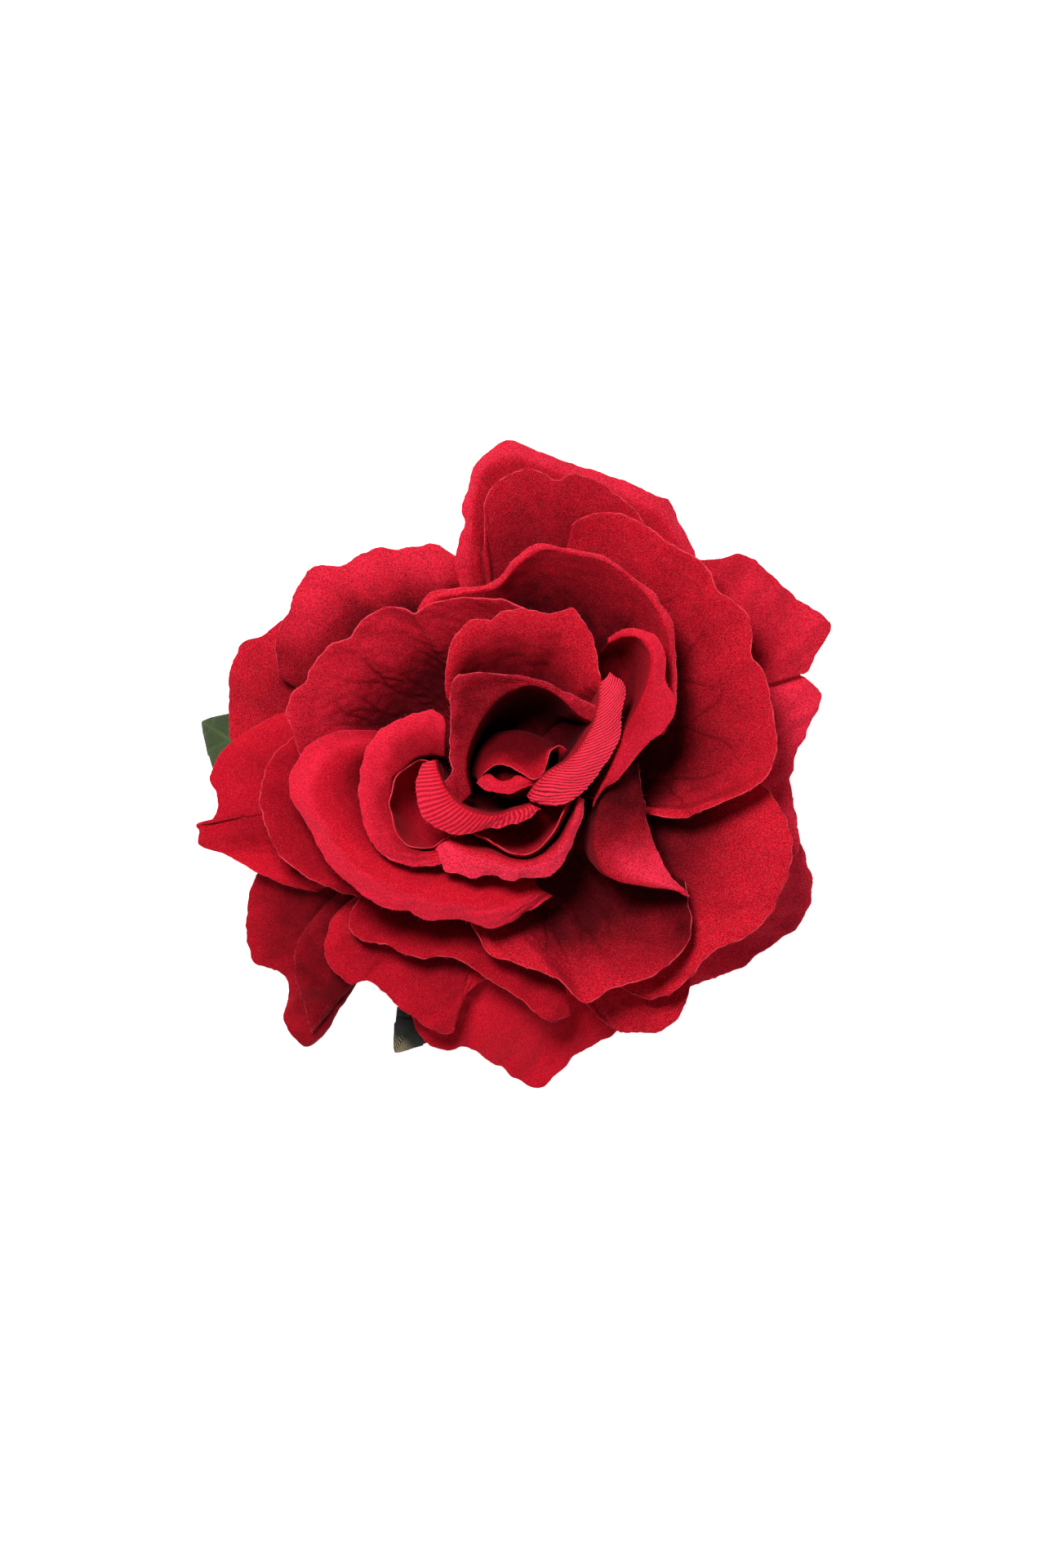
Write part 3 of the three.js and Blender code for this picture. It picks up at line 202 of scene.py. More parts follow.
petal(
    "petal_curl_right", foot=[-8, -62, 7.6, 21.8], lift=0.9, dye=[0.2, 0.5], dusk=[0.1, 0.8],
    fold=[[16, -2, 38.6], [14.6, -6, 39.4], [13.6, -10, 39.7], [13.8, -14, 39.7], [15.2, -17.4, 39.5],
          [18, -19.2, 39], [22, -19.9, 37.8], [26, -20.6, 36], [29.2, -21.5, 34]],
    rim=[[21, 1, 36.4], [21.8, -4, 36], [22.4, -8, 35.6], [23, -11, 35.2], [24, -14, 35],
         [25.4, -16.6, 34.8], [27, -18.8, 34.4], [28.6, -20.8, 33.8], [30, -22.4, 33.4]],
)
petal(
    "petal_wide_left", foot=[150, 286, 7.7, 21.6], lift=0.6, shoulder=1, dye=[0.42, 0.94],
    dusk=[-0.25, 0.4], lip=0.7,
    fold=[[-20, 3.4, 37.6], [-24, 3.6, 39], [-29, 2.4, 39.8], [-32.4, -1, 40], [-33, -5, 40],
          [-30.6, -11, 40], [-26, -16.4, 40], [-20, -20, 39.6], [-13, -22, 39], [-6, -23, 37.8],
          [-1, -22.8, 36], [4.4, -20.8, 33.4]],
    rim=[[-19, 5, 36.4], [-23, 6.1, 37], [-27, 6.5, 37.4], [-30, 6.3, 37.5], [-33, 5, 37.5],
         [-35, 3.5, 37.5], [-37, 1, 37.3], [-38.3, -3, 37], [-37.5, -6, 37], [-35, -10, 37],
         [-33, -14, 37], [-30, -18, 37], [-27, -20.5, 37], [-25, -22, 37], [-21, -24, 36.8],
         [-18, -24.2, 36.8], [-17, -25, 36.6], [-14, -26, 36.2], [-11, -25.6, 36], [-8, -26, 35.4],
         [-5, -27.2, 34.8], [-2, -27, 34], [1, -25.5, 33.4], [4, -23.5, 32.6], [6.4, -21.8, 31.6]],
)
petal(
    "petal_veined_left", foot=[172, 84, 7.6, 21.4], lift=0.1, veins=9, dye=[0.42, 0.86],
    dusk=[-0.25, 0.25], lit=0.15,
    rim=[[-35.4, -1, 33], [-37, 4, 35], [-39, 9.5, 36.4], [-38, 12, 37], [-35.5, 14.5, 37],
         [-34.5, 16.5, 37.2], [-33, 19, 37.4], [-31, 20.8, 37.6], [-29, 21.2, 37.6], [-27.5, 21.8, 37.8],
         [-26.5, 23.5, 38], [-25, 25, 38.2], [-22.5, 26.5, 38.4], [-19, 26.6, 38.6], [-17, 25.9, 38.8],
         [-14, 27.8, 39], [-8, 29, 39.2], [-3, 29.2, 39.4], [0, 28.7, 39.4], [4, 26.6, 39]],
)
petal(
    "petal_ring_top", foot=[128, 8, 7.4, 21.2], lift=0.5, veins=5, dye=[0.5, 1.05], lip=0.3,
    fold=[[-16, 24, 34.4], [-13, 28.6, 36], [-8, 29.6, 36.8], [-3, 30.8, 37.8], [0.6, 34.6, 39.4],
          [4.8, 37.1, 40], [10, 36.3, 40.2], [16, 34.8, 40], [20.4, 31.4, 40], [24.2, 27.2, 40],
          [26.3, 22.4, 40], [26.9, 16.4, 39.4], [26.6, 10.4, 38.2], [24.8, 5.8, 35.8]],
    rim=[[-17.6, 25, 34], [-15, 29, 35.4], [-13, 30.2, 36], [-8, 30.6, 36.6], [-5, 30.9, 37],
         [-3, 32, 37.6], [0, 35, 38.8], [3, 37.6, 39.2], [5, 38, 39.4], [8, 37.2, 39.6], [10, 37, 39.6],
         [16, 35.5, 39.4], [20, 32.5, 39.4], [24, 29, 39.4], [26.5, 25, 39.4], [27.4, 20, 39.4],
         [27.6, 15, 39], [27.2, 10, 38], [25.4, 5.6, 35.4]],
)
petal(
    "petal_large_right", foot=[76, -28, 8.2, 20.4], lift=0.3, veins=6, dye=[0.4, 1.05],
    rim=[[10, 41, 31], [12, 42.4, 31.6], [16.5, 43.2, 32.4], [22, 40.8, 33], [26, 38, 33.6],
         [28.5, 36.8, 33.8], [31, 35.5, 33.8], [33.5, 33.5, 34], [35, 30.5, 34], [37.5, 28.5, 34],
         [39.7, 26, 34], [40.3, 22.5, 34], [40.2, 19, 34], [42, 16.5, 34], [43.3, 12, 34],
         [44.3, 7, 33.6], [44.3, 2, 33.2], [43, -2, 32.8], [40, -5, 32.4], [35, -7.5, 31.8],
         [31, -9, 31], [27, -8.6, 30], [23.4, -7.6, 28.6]],
)
petal(
    "petal_wrinkled_front", foot=[-42, -108, 8.4, 20.6], lift=0.5, veins=7, dye=[0.52, 1.06],
    dusk=[0, 0.5],
    rim=[[29.4, -19.6, 28.6], [30, -23, 29.4], [30.2, -27, 30], [29, -30, 30.4], [27, -33, 30.4],
         [23, -36, 30.4], [19, -37.5, 30.2], [16, -38, 30], [12, -40.2, 29.4], [8, -38, 29.4],
         [4, -35, 29.4], [0, -32.8, 29.4], [-3, -31.5, 29.2], [-4.5, -30, 29], [-6, -28, 28.6],
         [-8, -25, 28]],
)
petal(
    "petal_behind_left", foot=[164, 216, 8.6, 19.8], lift=0.3, arch=0.6, dye=[0.45, 1.5],
    rim=[[-35, 7.6, 25.6], [-38, 5, 26.8], [-41, 2, 27.8], [-43, -2, 28.4], [-43.8, -6, 28.6],
         [-42.8, -10, 28.6], [-41, -14, 28.6], [-38, -17.5, 28.4], [-34, -20, 28], [-30, -21, 27.6],
         [-26, -21.6, 26.6]],
)
petal(
    "petal_back_inner", foot=[106, 58, 8.8, 19.4], lift=0.15, arch=0.8, dye=[0.28, 1.35],
    rim=[[-4.8, 32, 25.6], [-5.3, 40, 28.4], [-5, 46, 29.6], [-3, 48.5, 30], [0, 50.3, 30.2],
         [2, 51, 30.2], [5, 50.5, 30.2], [7.5, 49.5, 30], [9.5, 50.3, 30.2], [12, 50, 30],
         [15, 48.6, 29.6], [19, 45.4, 29], [23, 41, 28]],
)
petal(
    "petal_right_front", foot=[-6, -56, 9, 19.2], lift=0.2, arch=1.2, dye=[0.45, 0.95],
    rim=[[37, -0.6, 24.4], [42.5, -3, 25.4], [45, -6, 25.6], [47, -10, 25.8], [47.7, -14, 25.8],
         [47, -18, 25.8], [45, -22.5, 25.8], [43, -26, 25.6], [40, -28.8, 25.2], [36, -30.5, 24.8],
         [33, -32.5, 24.4], [31, -35, 24], [29, -37, 23.4], [26, -39.2, 22.8], [23.5, -39.5, 22.4],
         [20, -38.7, 22], [16.4, -36, 21.6]],
)
petal(
    "petal_lower_left", foot=[222, 282, 8.9, 19.4], lift=0.4, dye=[0.56, 1.45],
    rim=[[-26, -21.6, 22.6], [-28, -25, 23.8], [-28, -27.5, 24.2], [-26, -29.5, 24.4],
         [-22, -30.3, 24.4], [-19, -31.8, 24.4], [-16, -32.8, 24.4], [-12, -32.8, 24.2], [-8, -34, 23.8],
         [-4, -36.5, 23.2], [0, -39, 22.6], [3, -42, 21.8], [6, -43.5, 21], [9.6, -42.6, 20.4]],
)
petal(
    "petal_back_outer", foot=[112, 48, 9.6, 18], lift=0.1, dye=[0.4, 1.15], lip=0.6,
    fold=[[-7.4, 30, 20.4], [-7, 38, 23.6], [-6.6, 46, 24.8], [-4.6, 50.6, 25], [-1, 52.6, 25.2],
          [5, 50.8, 25.6], [12, 48.6, 26], [20, 45, 26.4], [25, 42, 26.2], [27.6, 37.6, 25.4],
          [29, 33, 24]],
    rim=[[-10, 29, 19], [-10, 36, 21.4], [-9.5, 39, 22.2], [-8.5, 42, 23], [-9, 45, 23], [-8, 47.5, 23],
         [-7.5, 50, 23], [-6.5, 52, 23], [-4, 54.5, 22.8], [-1, 56.3, 22.6], [1, 55.7, 22.8],
         [5, 54, 23.2], [10, 52, 23.8], [15, 50.5, 24.2], [20, 48.5, 24.6], [25, 46.3, 24.4],
         [26.5, 46, 24.2], [27.5, 44, 24.2], [29, 41, 24], [30.5, 38, 23.6], [32, 34, 22.4]],
)
petal(
    "petal_upper_left", foot=[160, 106, 9.4, 18.6], lift=0.15, arch=2.6, dye=[0.62, 0.98],
    dusk=[-0.1, 0.5], lit=0.4,
    rim=[[-34.6, 10, 19], [-37.5, 14, 20.4], [-40, 16, 21.2], [-41, 20, 21.8], [-40, 24.5, 22],
         [-38.5, 27, 22], [-38, 29, 22], [-36.5, 32, 22], [-34.5, 34.3, 22], [-32, 34.5, 22],
         [-29.5, 34.4, 22], [-27, 36, 22], [-24, 37.4, 21.8], [-20, 37.4, 21.6], [-16, 38, 21.4],
         [-13.5, 38.1, 21.2], [-12, 37.3, 20.8], [-9.4, 34.6, 19.8], [-7, 30, 18.8]],
)
petal(
    "petal_spread_left", foot=[164, 212, 9.6, 18.2], lift=0.1, arch=2.6, dye=[0.4, 1.2],
    rim=[[-36, 9, 18.4], [-39, 10, 18.6], [-43, 8, 18.6], [-47, 5.5, 18.4], [-50.5, 2.5, 18],
         [-52, 0, 17.8], [-52.5, -2, 17.6], [-51.5, -4, 17.6], [-51.2, -6.5, 17.4], [-52, -8.5, 17],
         [-53, -9.5, 16.6], [-55, -9.8, 16], [-54.6, -11, 15.8], [-54.8, -13, 15.2], [-54, -13.8, 15],
         [-50, -15.2, 15.6], [-45, -17.3, 16.4], [-40, -19.7, 17.2], [-34, -21.4, 17.8]],
)
petal(
    "petal_lower_lip", foot=[222, 260, 9.8, 18], lift=0.1, arch=2.6, dye=[0.5, 1.25],
    rim=[[-28.6, -23, 16.8], [-31, -26, 17.6], [-32.3, -31, 18], [-31.5, -34, 18], [-30, -35.8, 18],
         [-28, -37, 17.8], [-25, -36.7, 17.8], [-22.5, -38.5, 17.4], [-19, -41.7, 16.8],
         [-15, -44.5, 16], [-12, -46, 15.4], [-10.5, -45.4, 15.6], [-10, -43, 16.2], [-9, -40, 17],
         [-7.5, -38, 17.4], [-4, -35.4, 17.8]],
)
petal(
    "petal_lower_right", foot=[-44, -78, 9.8, 18], lift=0.1, arch=2.6, dye=[0.1, 0.7],
    rim=[[30, -31, 17], [30.4, -36, 16.4], [29, -41, 15.8], [27.5, -43.5, 15.4], [25, -45.3, 15.2],
         [22, -45.9, 15.2], [18, -45.6, 15.6], [15, -43.5, 16.2], [12, -40.5, 17], [8.6, -36.6, 17.6]],
)
petal(
    "petal_corner_right", foot=[56, 22, 9.8, 18.4], lift=0.1, arch=1.4, roll=1.6, dye=[0.35, 1.1],
    dusk=[-0.3, 0.4], lit=0.35,
    rim=[[29, 37, 18.6], [32, 36, 18.6], [36, 36.2, 18.6], [39, 37, 18.4], [41, 36, 18.2],
         [45, 32.5, 17.6], [50, 28.5, 16.8], [53, 26.5, 16], [54.5, 25, 15.4], [54, 22.5, 15.6],
         [52, 19.5, 16.2], [50.3, 16.4, 16.6], [46, 18.6, 17.2], [40, 21.6, 17.8]],
)
petal(
    "petal_tongue_left", foot=[212, 238, 10.2, 17.4], lift=0.1, arch=3.2, dye=[0.62, 1.9],
    rim=[[-29, -21, 14.4], [-32, -23.5, 14.2], [-35, -26, 13.8], [-37.3, -30, 12.8], [-37.8, -34, 11.4],
         [-37, -39, 9.4], [-36.2, -43, 7], [-35.2, -46.6, 5], [-32.5, -42, 7.6], [-29.4, -36.6, 10.6],
         [-25.6, -31, 13.4]],
)
petal(
    "petal_right_back", foot=[34, -18, 10.3, 17.6], lift=0.05, arch=3, dye=[0, 0.6], lit=0.7,
    rim=[[37.6, 24.8, 15], [40.5, 23, 14.8], [45, 19, 14.2], [50, 15.8, 13.4], [52.5, 14, 12.8],
         [53.5, 12.5, 12.4], [52.5, 9.5, 12.4], [50, 5, 12.6], [48.5, 2, 12.8], [47.7, -2, 12.8],
         [48, -5, 12.6], [49, -9, 12.2], [49.4, -14, 11.6], [45, -19, 12]],
)
petal(
    "petal_outer_left", foot=[176, 138, 10.2, 17.4], lift=0.05, arch=3.2, dye=[0.4, 1.15],
    rim=[[-46.6, 2, 11], [-49, 5, 11], [-49.5, 10, 11], [-49.3, 12, 11.2], [-49.4, 15, 11.6],
         [-48.8, 18, 12], [-47.5, 21, 12.4], [-46, 22.2, 12.8], [-43.5, 23, 13.2], [-41.5, 24.5, 13.4],
         [-39, 26.5, 13.6], [-34, 29, 14], [-28, 30, 14.2]],
)
petal(
    "petal_right_low", foot=[-14, -48, 10.6, 16.9], lift=0, arch=4.4, dye=[0.1, 0.8], lit=0.5,
    rim=[[46.6, -9, 9.6], [49.7, -14, 7], [51, -17, 5.4], [52.3, -20, 3.6], [52, -24, 2],
         [50.5, -27, 1.2], [47, -30, 1.6], [43, -32.5, 3], [38, -35, 4.8], [34, -36, 6.4],
         [30.5, -37.5, 7.4], [26.4, -38, 8.6]],
)
petal(
    "petal_front_outer", foot=[243, 294, 10.6, 16.9], lift=0, arch=4.4, dye=[0.2, 0.8],
    rim=[[-19.6, -38.6, 10], [-18, -43, 8.4], [-16, -47, 6.6], [-12.5, -48.7, 5.8], [-8, -48.3, 5.6],
         [-5, -51, 4.4], [0, -55, 2.4], [3, -56.6, 1.4], [5.5, -56, 1.6], [7.5, -53, 3], [10, -50, 4.4],
         [12.5, -48, 5.4], [17, -45.7, 6.6], [21, -42, 8.4]],
)
petal(
    "petal_low_left", foot=[204, 234, 10.8, 16.6], lift=0, arch=4.6, dye=[0.62, 1.35], dusk=[1.15, 0.4],
    rim=[[-43.4, -15.6, 11.4], [-44.4, -17.8, 10.6], [-46, -22, 8.8], [-46.6, -27, 7], [-46.3, -31, 5.4],
         [-45, -34, 4.4], [-41, -35, 5], [-39.3, -37, 4.6], [-39.2, -40, 3.6], [-40.3, -43.5, 2.6],
         [-39.5, -45, 2], [-38, -47, 1.4], [-36, -48.4, 1.1], [-35, -48, 1.3], [-35.2, -46, 2],
         [-34.6, -42, 4], [-32, -37, 6.6]],
)

# ---------------------------------------------------------------- curves, noise and sheets


def catmull_rom(points, per_span=24):
    """Dense points on the smooth curve through the given ones (centripetal Catmull-Rom)."""
    p = np.array(points, float)
    p = np.vstack([2 * p[0] - p[1], p, 2 * p[-1] - p[-2]])
    knots = np.concatenate([[0], np.cumsum(np.linalg.norm(np.diff(p, axis=0), axis=1) ** 0.5)])
    out = []
    for i in range(1, len(p) - 2):
        t = np.linspace(knots[i], knots[i + 1], per_span, endpoint=i == len(p) - 3)[:, None]
        near = list(p[i - 1 : i + 3])
        for first, reach in ((i - 1, 1), (i - 1, 2), (i, 1)):
            for k in range(len(near) - 1):
                a, b = knots[first + k], knots[first + k + reach]
                near[k] = ((b - t) * near[k] + (t - a) * near[k + 1]) / (b - a)
            near.pop()
        out.append(near[0])
    return np.vstack(out)


def distance(points):
    """How far each point lies along the line through the points."""
    return np.concatenate([[0], np.cumsum(np.linalg.norm(np.diff(points, axis=0), axis=1))])


def at(stops, run, points):
    """The points at the given distances along a line."""
    return np.stack([np.interp(stops, run, points[:, k]) for k in range(3)], axis=-1)


def along(points, shares):
    """Points at the given shares of the length of the smooth curve through points."""
    dense = catmull_rom(points)
    run = distance(dense)
    return at(shares * run[-1], run, dense)


def smooth(low, high, x):
    """0 below low, 1 above high, and a smooth step between."""
    x = np.clip((x - low) / (high - low), 0, 1)
    return x * x * (3 - 2 * x)


def ripple(u, v, size, seed, count=14):
    """A smooth random field of about unit height whose bumps are about size apart."""
    draw = np.random.default_rng(seed)
    total = np.zeros(np.broadcast(u, v).shape)
    for _ in range(count):
        turn, phase = draw.uniform(0, 2 * math.pi, 2)
        wave = 2 * math.pi / (size * draw.uniform(0.75, 1.6))
        total += np.sin(wave * (u * math.cos(turn) + v * math.sin(turn)) + phase)
    return total / math.sqrt(count / 2)


def bezier(a, b, c, d, t):
    """The cubic curve from a to d with handles b and c."""
    u = 1 - t
    return u**3 * a + 3 * u * u * t * b + 3 * u * t * t * c + t**3 * d


def normals(grid):
    """Unit normals at the points of a sheet."""
    across = np.gradient(grid, axis=1)
    upward = np.gradient(grid, axis=0)
    n = np.cross(across, upward)
    return n / np.maximum(np.linalg.norm(n, axis=2, keepdims=True), 1e-9)


def lengths(grid):
    """Distance in millimetres along each row and along each column."""
    row = np.linalg.norm(np.diff(grid, axis=1), axis=2)
    column = np.linalg.norm(np.diff(grid, axis=0), axis=2)
    u = np.concatenate([np.zeros((len(grid), 1)), np.cumsum(row, axis=1)], axis=1)
    v = np.concatenate([np.zeros((1, grid.shape[1])), np.cumsum(column, axis=0)], axis=0)
    return u, v


def new_piece(name, points, faces, material):
    """A smooth object from points in millimetres."""
    mesh = bpy.data.meshes.new(name)
    mesh.from_pydata((np.array(points) * MM).tolist(), [], faces)
    mesh.shade_smooth()
    mesh.materials.append(material)
    piece = bpy.data.objects.new(name, mesh)
    bpy.context.scene.collection.objects.link(piece)
    return piece


def write_field(mesh, name, values):
    """A value at each point of the mesh, for its material."""
    layer = mesh.attributes.new(name, "FLOAT", "POINT")
    layer.data.foreach_set("value", values.astype(np.float32))


def petal_surface(form, s, t):
    """The petal's middle surface at shares s of its width and t from seam to rim: one curve from
    the seam to the rim, or one to the crest of the fold and a second over it."""
    first, last, radius, height = form["foot"]
    bearing = np.radians(first + (last - first) * s)
    foot = [radius * np.cos(bearing), radius * np.sin(bearing), height + 0 * s]
    foot = np.stack(foot, axis=1)[None]
    rim = along(form["rim"], s)[None]
    fold = "fold" in form
    hood = form.get("hood")
    crest = along(form["fold"], s)[None] if fold else rim
    flat = np.array([1, 1, 0])
    up = np.array([0, 0, 1])
    rise = crest[..., 2:] - foot[..., 2:]
    reach = (crest - foot) * flat
    lift = form.get("lift", 1)
    # start and near are the handles of the curve at the seam and at its far end.
    start = foot + (0.4 + 0.35 * lift) * reach
    near = crest - (0.34 - 0.3 * lift) * reach - up * (0.42 + 0.1 * lift) * rise
    if hood:
        start = foot + foot * flat * hood[0] / radius + up * hood[1] * rise
        near = crest - 0.45 * reach - up * 0.06 * rise
    t = t[:, None, None]
    if fold:
        out = (rim - crest) * flat
        if not hood:
            turn = form.get("shoulder", 0)
            near = near - (0.2 + 0.8 * turn) * out + up * 0.44 * turn * rise
        inner = bezier(foot, start, near, crest, np.clip(t / WALL, 0, 1))
        above = rim - 0.4 * out + up * (crest[..., 2:] - rim[..., 2:]) * 0.38
        over = np.clip((t - WALL) / (1 - WALL), 0, 1)
        lip = bezier(crest, crest + 0.45 * out, above, rim, over)
        return np.where(t <= WALL, inner, lip)
    bow = form.get("arch", 0) * 4 * t * (1 - t) * (1 - 0.5 * (2 * s[None, :, None] - 1) ** 2)
    return bezier(foot, start, near, rim, t) + up * bow


def creases(u, v, count, seed):
    """How deep each point lies in a pressed crease, 0 to 1. The creases fan out and branch."""
    draw = np.random.default_rng(seed)
    width = u[-1, -1]
    share = v / np.maximum(v[-1], 1e-6)
    place = u / np.maximum(u[:, -1:], 1e-6)
    depth = np.zeros(u.shape)
    for k in range(count):
        centre = (k + draw.uniform(0.25, 0.75)) / count
        reach = draw.uniform(0.65, 0.92)
        split = draw.uniform(0.4, 0.55)
        fork = draw.uniform(0.25, 0.5) / count
        bend = draw.uniform(-0.3, 0.3) / count
        for side in (-1, 1):
            line = centre + bend * share + side * fork * smooth(split, 1, share) * 1.6
            line = line + 0.006 * np.sin(share * draw.uniform(18, 30) + draw.uniform(0, 6))
            away = (place - line) * width
            fade = smooth(0.1, 0.22, share) * (1 - smooth(reach - 0.25, reach, share))
            depth = np.maximum(depth, np.exp(-((away / CREASE_HALF) ** 2)) * fade)
    return depth


TOO_DEEP = 3.0  # a point further over another sheet than this leans over it and isn't moved
ROUNDS = 5
LEAST_TILT = 0.25  # a steeper sheet counts as this steep
RAY_FROM = -5.0  # below everything, and its reach above everything
RAY_REACH = 80.0


def spread_out(push):
    """Spreads a push to the neighbours along the columns, more readily than it fades."""
    calm = push.copy()
    calm[1:-1] = (push[:-2] + 2 * push[1:-1] + push[2:]) / 4
    return np.where(np.abs(calm) > np.abs(push), calm, 0.5 * (push + calm))


def rest_under(grid, above):
    """Moves the points of a sheet that lie over another sheet towards a gap under it, smoothly.
    Not all of them get there, and some sheets still cross."""
    gap = GAP + PETAL
    moved = grid.copy()
    for _ in range(ROUNDS):
        push = np.zeros(grid.shape)
        for i in range(grid.shape[0]):
            for j in range(grid.shape[1]):
                x, y, z = moved[i, j]
                hit, normal, _, _ = above.ray_cast((x, y, RAY_FROM), (0, 0, 1), RAY_REACH)
                if hit is None:
                    continue
                tilt = abs(normal.z)
                deep = (z + gap / max(tilt, LEAST_TILT) - hit.z) * tilt
                if 0 < deep < TOO_DEEP:
                    down = normal if normal.z < 0 else -normal
                    push[i, j] = np.array(down) * deep
        if not push.any():
            break
        for _ in range(3):
            push = spread_out(push)
            push = spread_out(push.swapaxes(0, 1)).swapaxes(0, 1)
        moved = moved + push
    return moved


def around(table):
    """The values round the border of a table, in order."""
    return np.concatenate([table[0], table[1:-1, -1], table[-1, ::-1], table[-2:0:-1, 0]])


def sheet_mesh(name, grid, thick, rim_thick, fields, material):
    """A closed cloth sheet round a grid of middle points, with a rounded edge. fields are values
    at the grid's points, written as attributes for the material."""
    rows, cols = grid.shape[:2]
    size = rows * cols
    u, v = lengths(grid)
    edge = np.minimum(np.minimum(u, u[:, -1:] - u), v[-1:] - v)
    half = (rim_thick + (thick - rim_thick) * smooth(0, THIN_EDGE, edge))[..., None] / 2
    raised = normals(grid) * half
    index = np.arange(size).reshape(rows, cols)
    ring = around(index)
    inside = around(np.pad(index[1:-1, 1:-1], 1, mode="edge"))
    middle = grid.reshape(-1, 3)
    outward = middle[ring] - middle[inside]
    outward /= np.maximum(np.linalg.norm(outward, axis=1, keepdims=True), 1e-9)
    bulge = middle[ring] + outward * rim_thick * 0.35
    top = (grid + raised).reshape(-1, 3)
    under = (grid - raised).reshape(-1, 3)
    a, b = index[:-1, :-1].ravel(), index[:-1, 1:].ravel()
    c, d = index[1:, 1:].ravel(), index[1:, :-1].ravel()
    following = np.roll(ring, -1)
    mid = 2 * size + np.arange(len(ring))
    mid_following = np.roll(mid, -1)
    quads = [
        np.stack([a, b, c, d], 1),
        np.stack([a, d, c, b], 1) + size,
        np.stack([ring, mid, mid_following, following], 1),
        np.stack([mid, ring + size, following + size, mid_following], 1),
    ]
    points = np.vstack([top, under, bulge])
    piece = new_piece(name, points, np.vstack(quads).tolist(), material)
    mesh = piece.data
    fields = {"rim": v[-1:] - v, "share": v / np.maximum(v[-1:], 1e-6), **fields}
    for key, value in fields.items():
        flat = np.broadcast_to(value, (rows, cols)).ravel()
        write_field(mesh, key, np.concatenate([flat, flat, flat[ring]]))
    side = np.concatenate([np.zeros(size), np.ones(size), np.full(len(ring), 0.5)])
    write_field(mesh, "under", side)
    uv = np.stack([u, v], axis=2).reshape(-1, 2) / UV_SPAN
    uv = np.vstack([uv, uv, uv[ring]])
    loops = np.zeros(len(mesh.loops), np.int32)
    mesh.loops.foreach_get("vertex_index", loops)
    mesh.uv_layers.new(name="cloth").data.foreach_set("uv", uv[loops].astype(np.float32).ravel())
    return piece


def loose_threads(name, sheets, material, seed):
    """Short hair-thin threads that stand off the cut edges of the sheets."""
    draw = np.random.default_rng(seed)
    points, faces = [], []
    for grid in sheets:
        rim, inner = grid[-1], grid[-3]
        run = distance(rim)
        for stop in draw.uniform(0, run[-1], int(run[-1] * THREADS_PER_MM)):
            root = at(stop, run, rim)
            back = at(stop, run, inner)
            out = (root - back) / max(np.linalg.norm(root - back), 1e-6)
            out = out + draw.normal(0, THREAD_SCATTER, 3)
            out /= np.linalg.norm(out)
            curl = draw.normal(0, THREAD_CURL, 3)
            long = draw.uniform(*THREAD_LENGTH)
            side = np.cross(out, draw.normal(0, 1, 3))
            side /= np.linalg.norm(side)
            other = np.cross(out, side)
            base = len(points)
            for share in (0, 0.5, 1):
                centre = root + out * long * share + curl * long * share**2
                centre[2] = max(centre[2], TABLE_GAP)
                thin = THREAD_R * (1 - 0.6 * share)
                for turn in (0, 2.1, 4.2):
                    points.append(centre + thin * (side * math.cos(turn) + other * math.sin(turn)))
            for level in (0, 3):
                for k in range(3):
                    a, c = base + level + k, base + level + (k + 1) % 3
                    faces.append((a, c, c + 3, a + 3))
            faces.append((base + 6, base + 7, base + 8))
            faces.append((base + 2, base + 1, base))
    return new_piece(name, points, faces, material)


# ---------------------------------------------------------------- materials


class Nodes:
    """A material's node tree, with short calls to add to it."""

    def __init__(self, name):
        self.material = bpy.data.materials.new(name)
        self.material.use_nodes = True
        self.tree = self.material.node_tree
        self.shader = self.tree.nodes["Principled BSDF"]

    def add(self, kind, inputs=(), **settings):
        node = self.tree.nodes.new("ShaderNode" + kind)
        for key, value in settings.items():
            setattr(node, key, value)
        for key, value in dict(inputs).items():
            self.set(node, key, value)
        return node

    def set(self, node, key, value):
        if isinstance(value, bpy.types.NodeSocket):
            self.tree.links.new(value, node.inputs[key])
        else:
            node.inputs[key].default_value = value

    def attribute(self, name):
        return self.add("Attribute", attribute_name=name).outputs["Fac"]

    def math(self, operation, *values, clamp=False):
        node = self.add("Math", operation=operation, use_clamp=clamp)
        for k, value in enumerate(values):
            self.set(node, k, value)
        return node.outputs[0]

    def times(self, a, b):
        return self.math("MULTIPLY", a, b)

    def ramp(self, value, low, high, a=0.0, b=1.0):
        """Maps low..high to a..b, clamped."""
        return self.add("MapRange", {0: value, 1: low, 2: high, 3: a, 4: b}).outputs[0]

    def noise(self, scale, detail=2.0, roughness=0.5, vector=None):
        node = self.add("TexNoise", {"Scale": scale, "Detail": detail, "Roughness": roughness})
        place = vector or self.add("TexCoord").outputs["Object"]
        self.tree.links.new(place, node.inputs["Vector"])
        return node.outputs["Fac"]

    def mix(self, share, a, b):
        node = self.add("Mix", data_type="RGBA")
        for key, value in ((0, share), (6, a), (7, b)):
            if isinstance(value, tuple):
                value = (*value, 1.0)
            self.set(node, key, value)
        return node.outputs[2]

    def bump(self, height, distance, strength=1.0, normal=None):
        node = self.add("Bump", {"Height": height, "Distance": distance, "Strength": strength})
        if normal is not None:
            self.tree.links.new(normal, node.inputs["Normal"])
        return node.outputs["Normal"]

    def finish(self, **inputs):
        for key, value in inputs.items():
            self.set(self.shader, key.replace("_", " "), value)
        return self.material


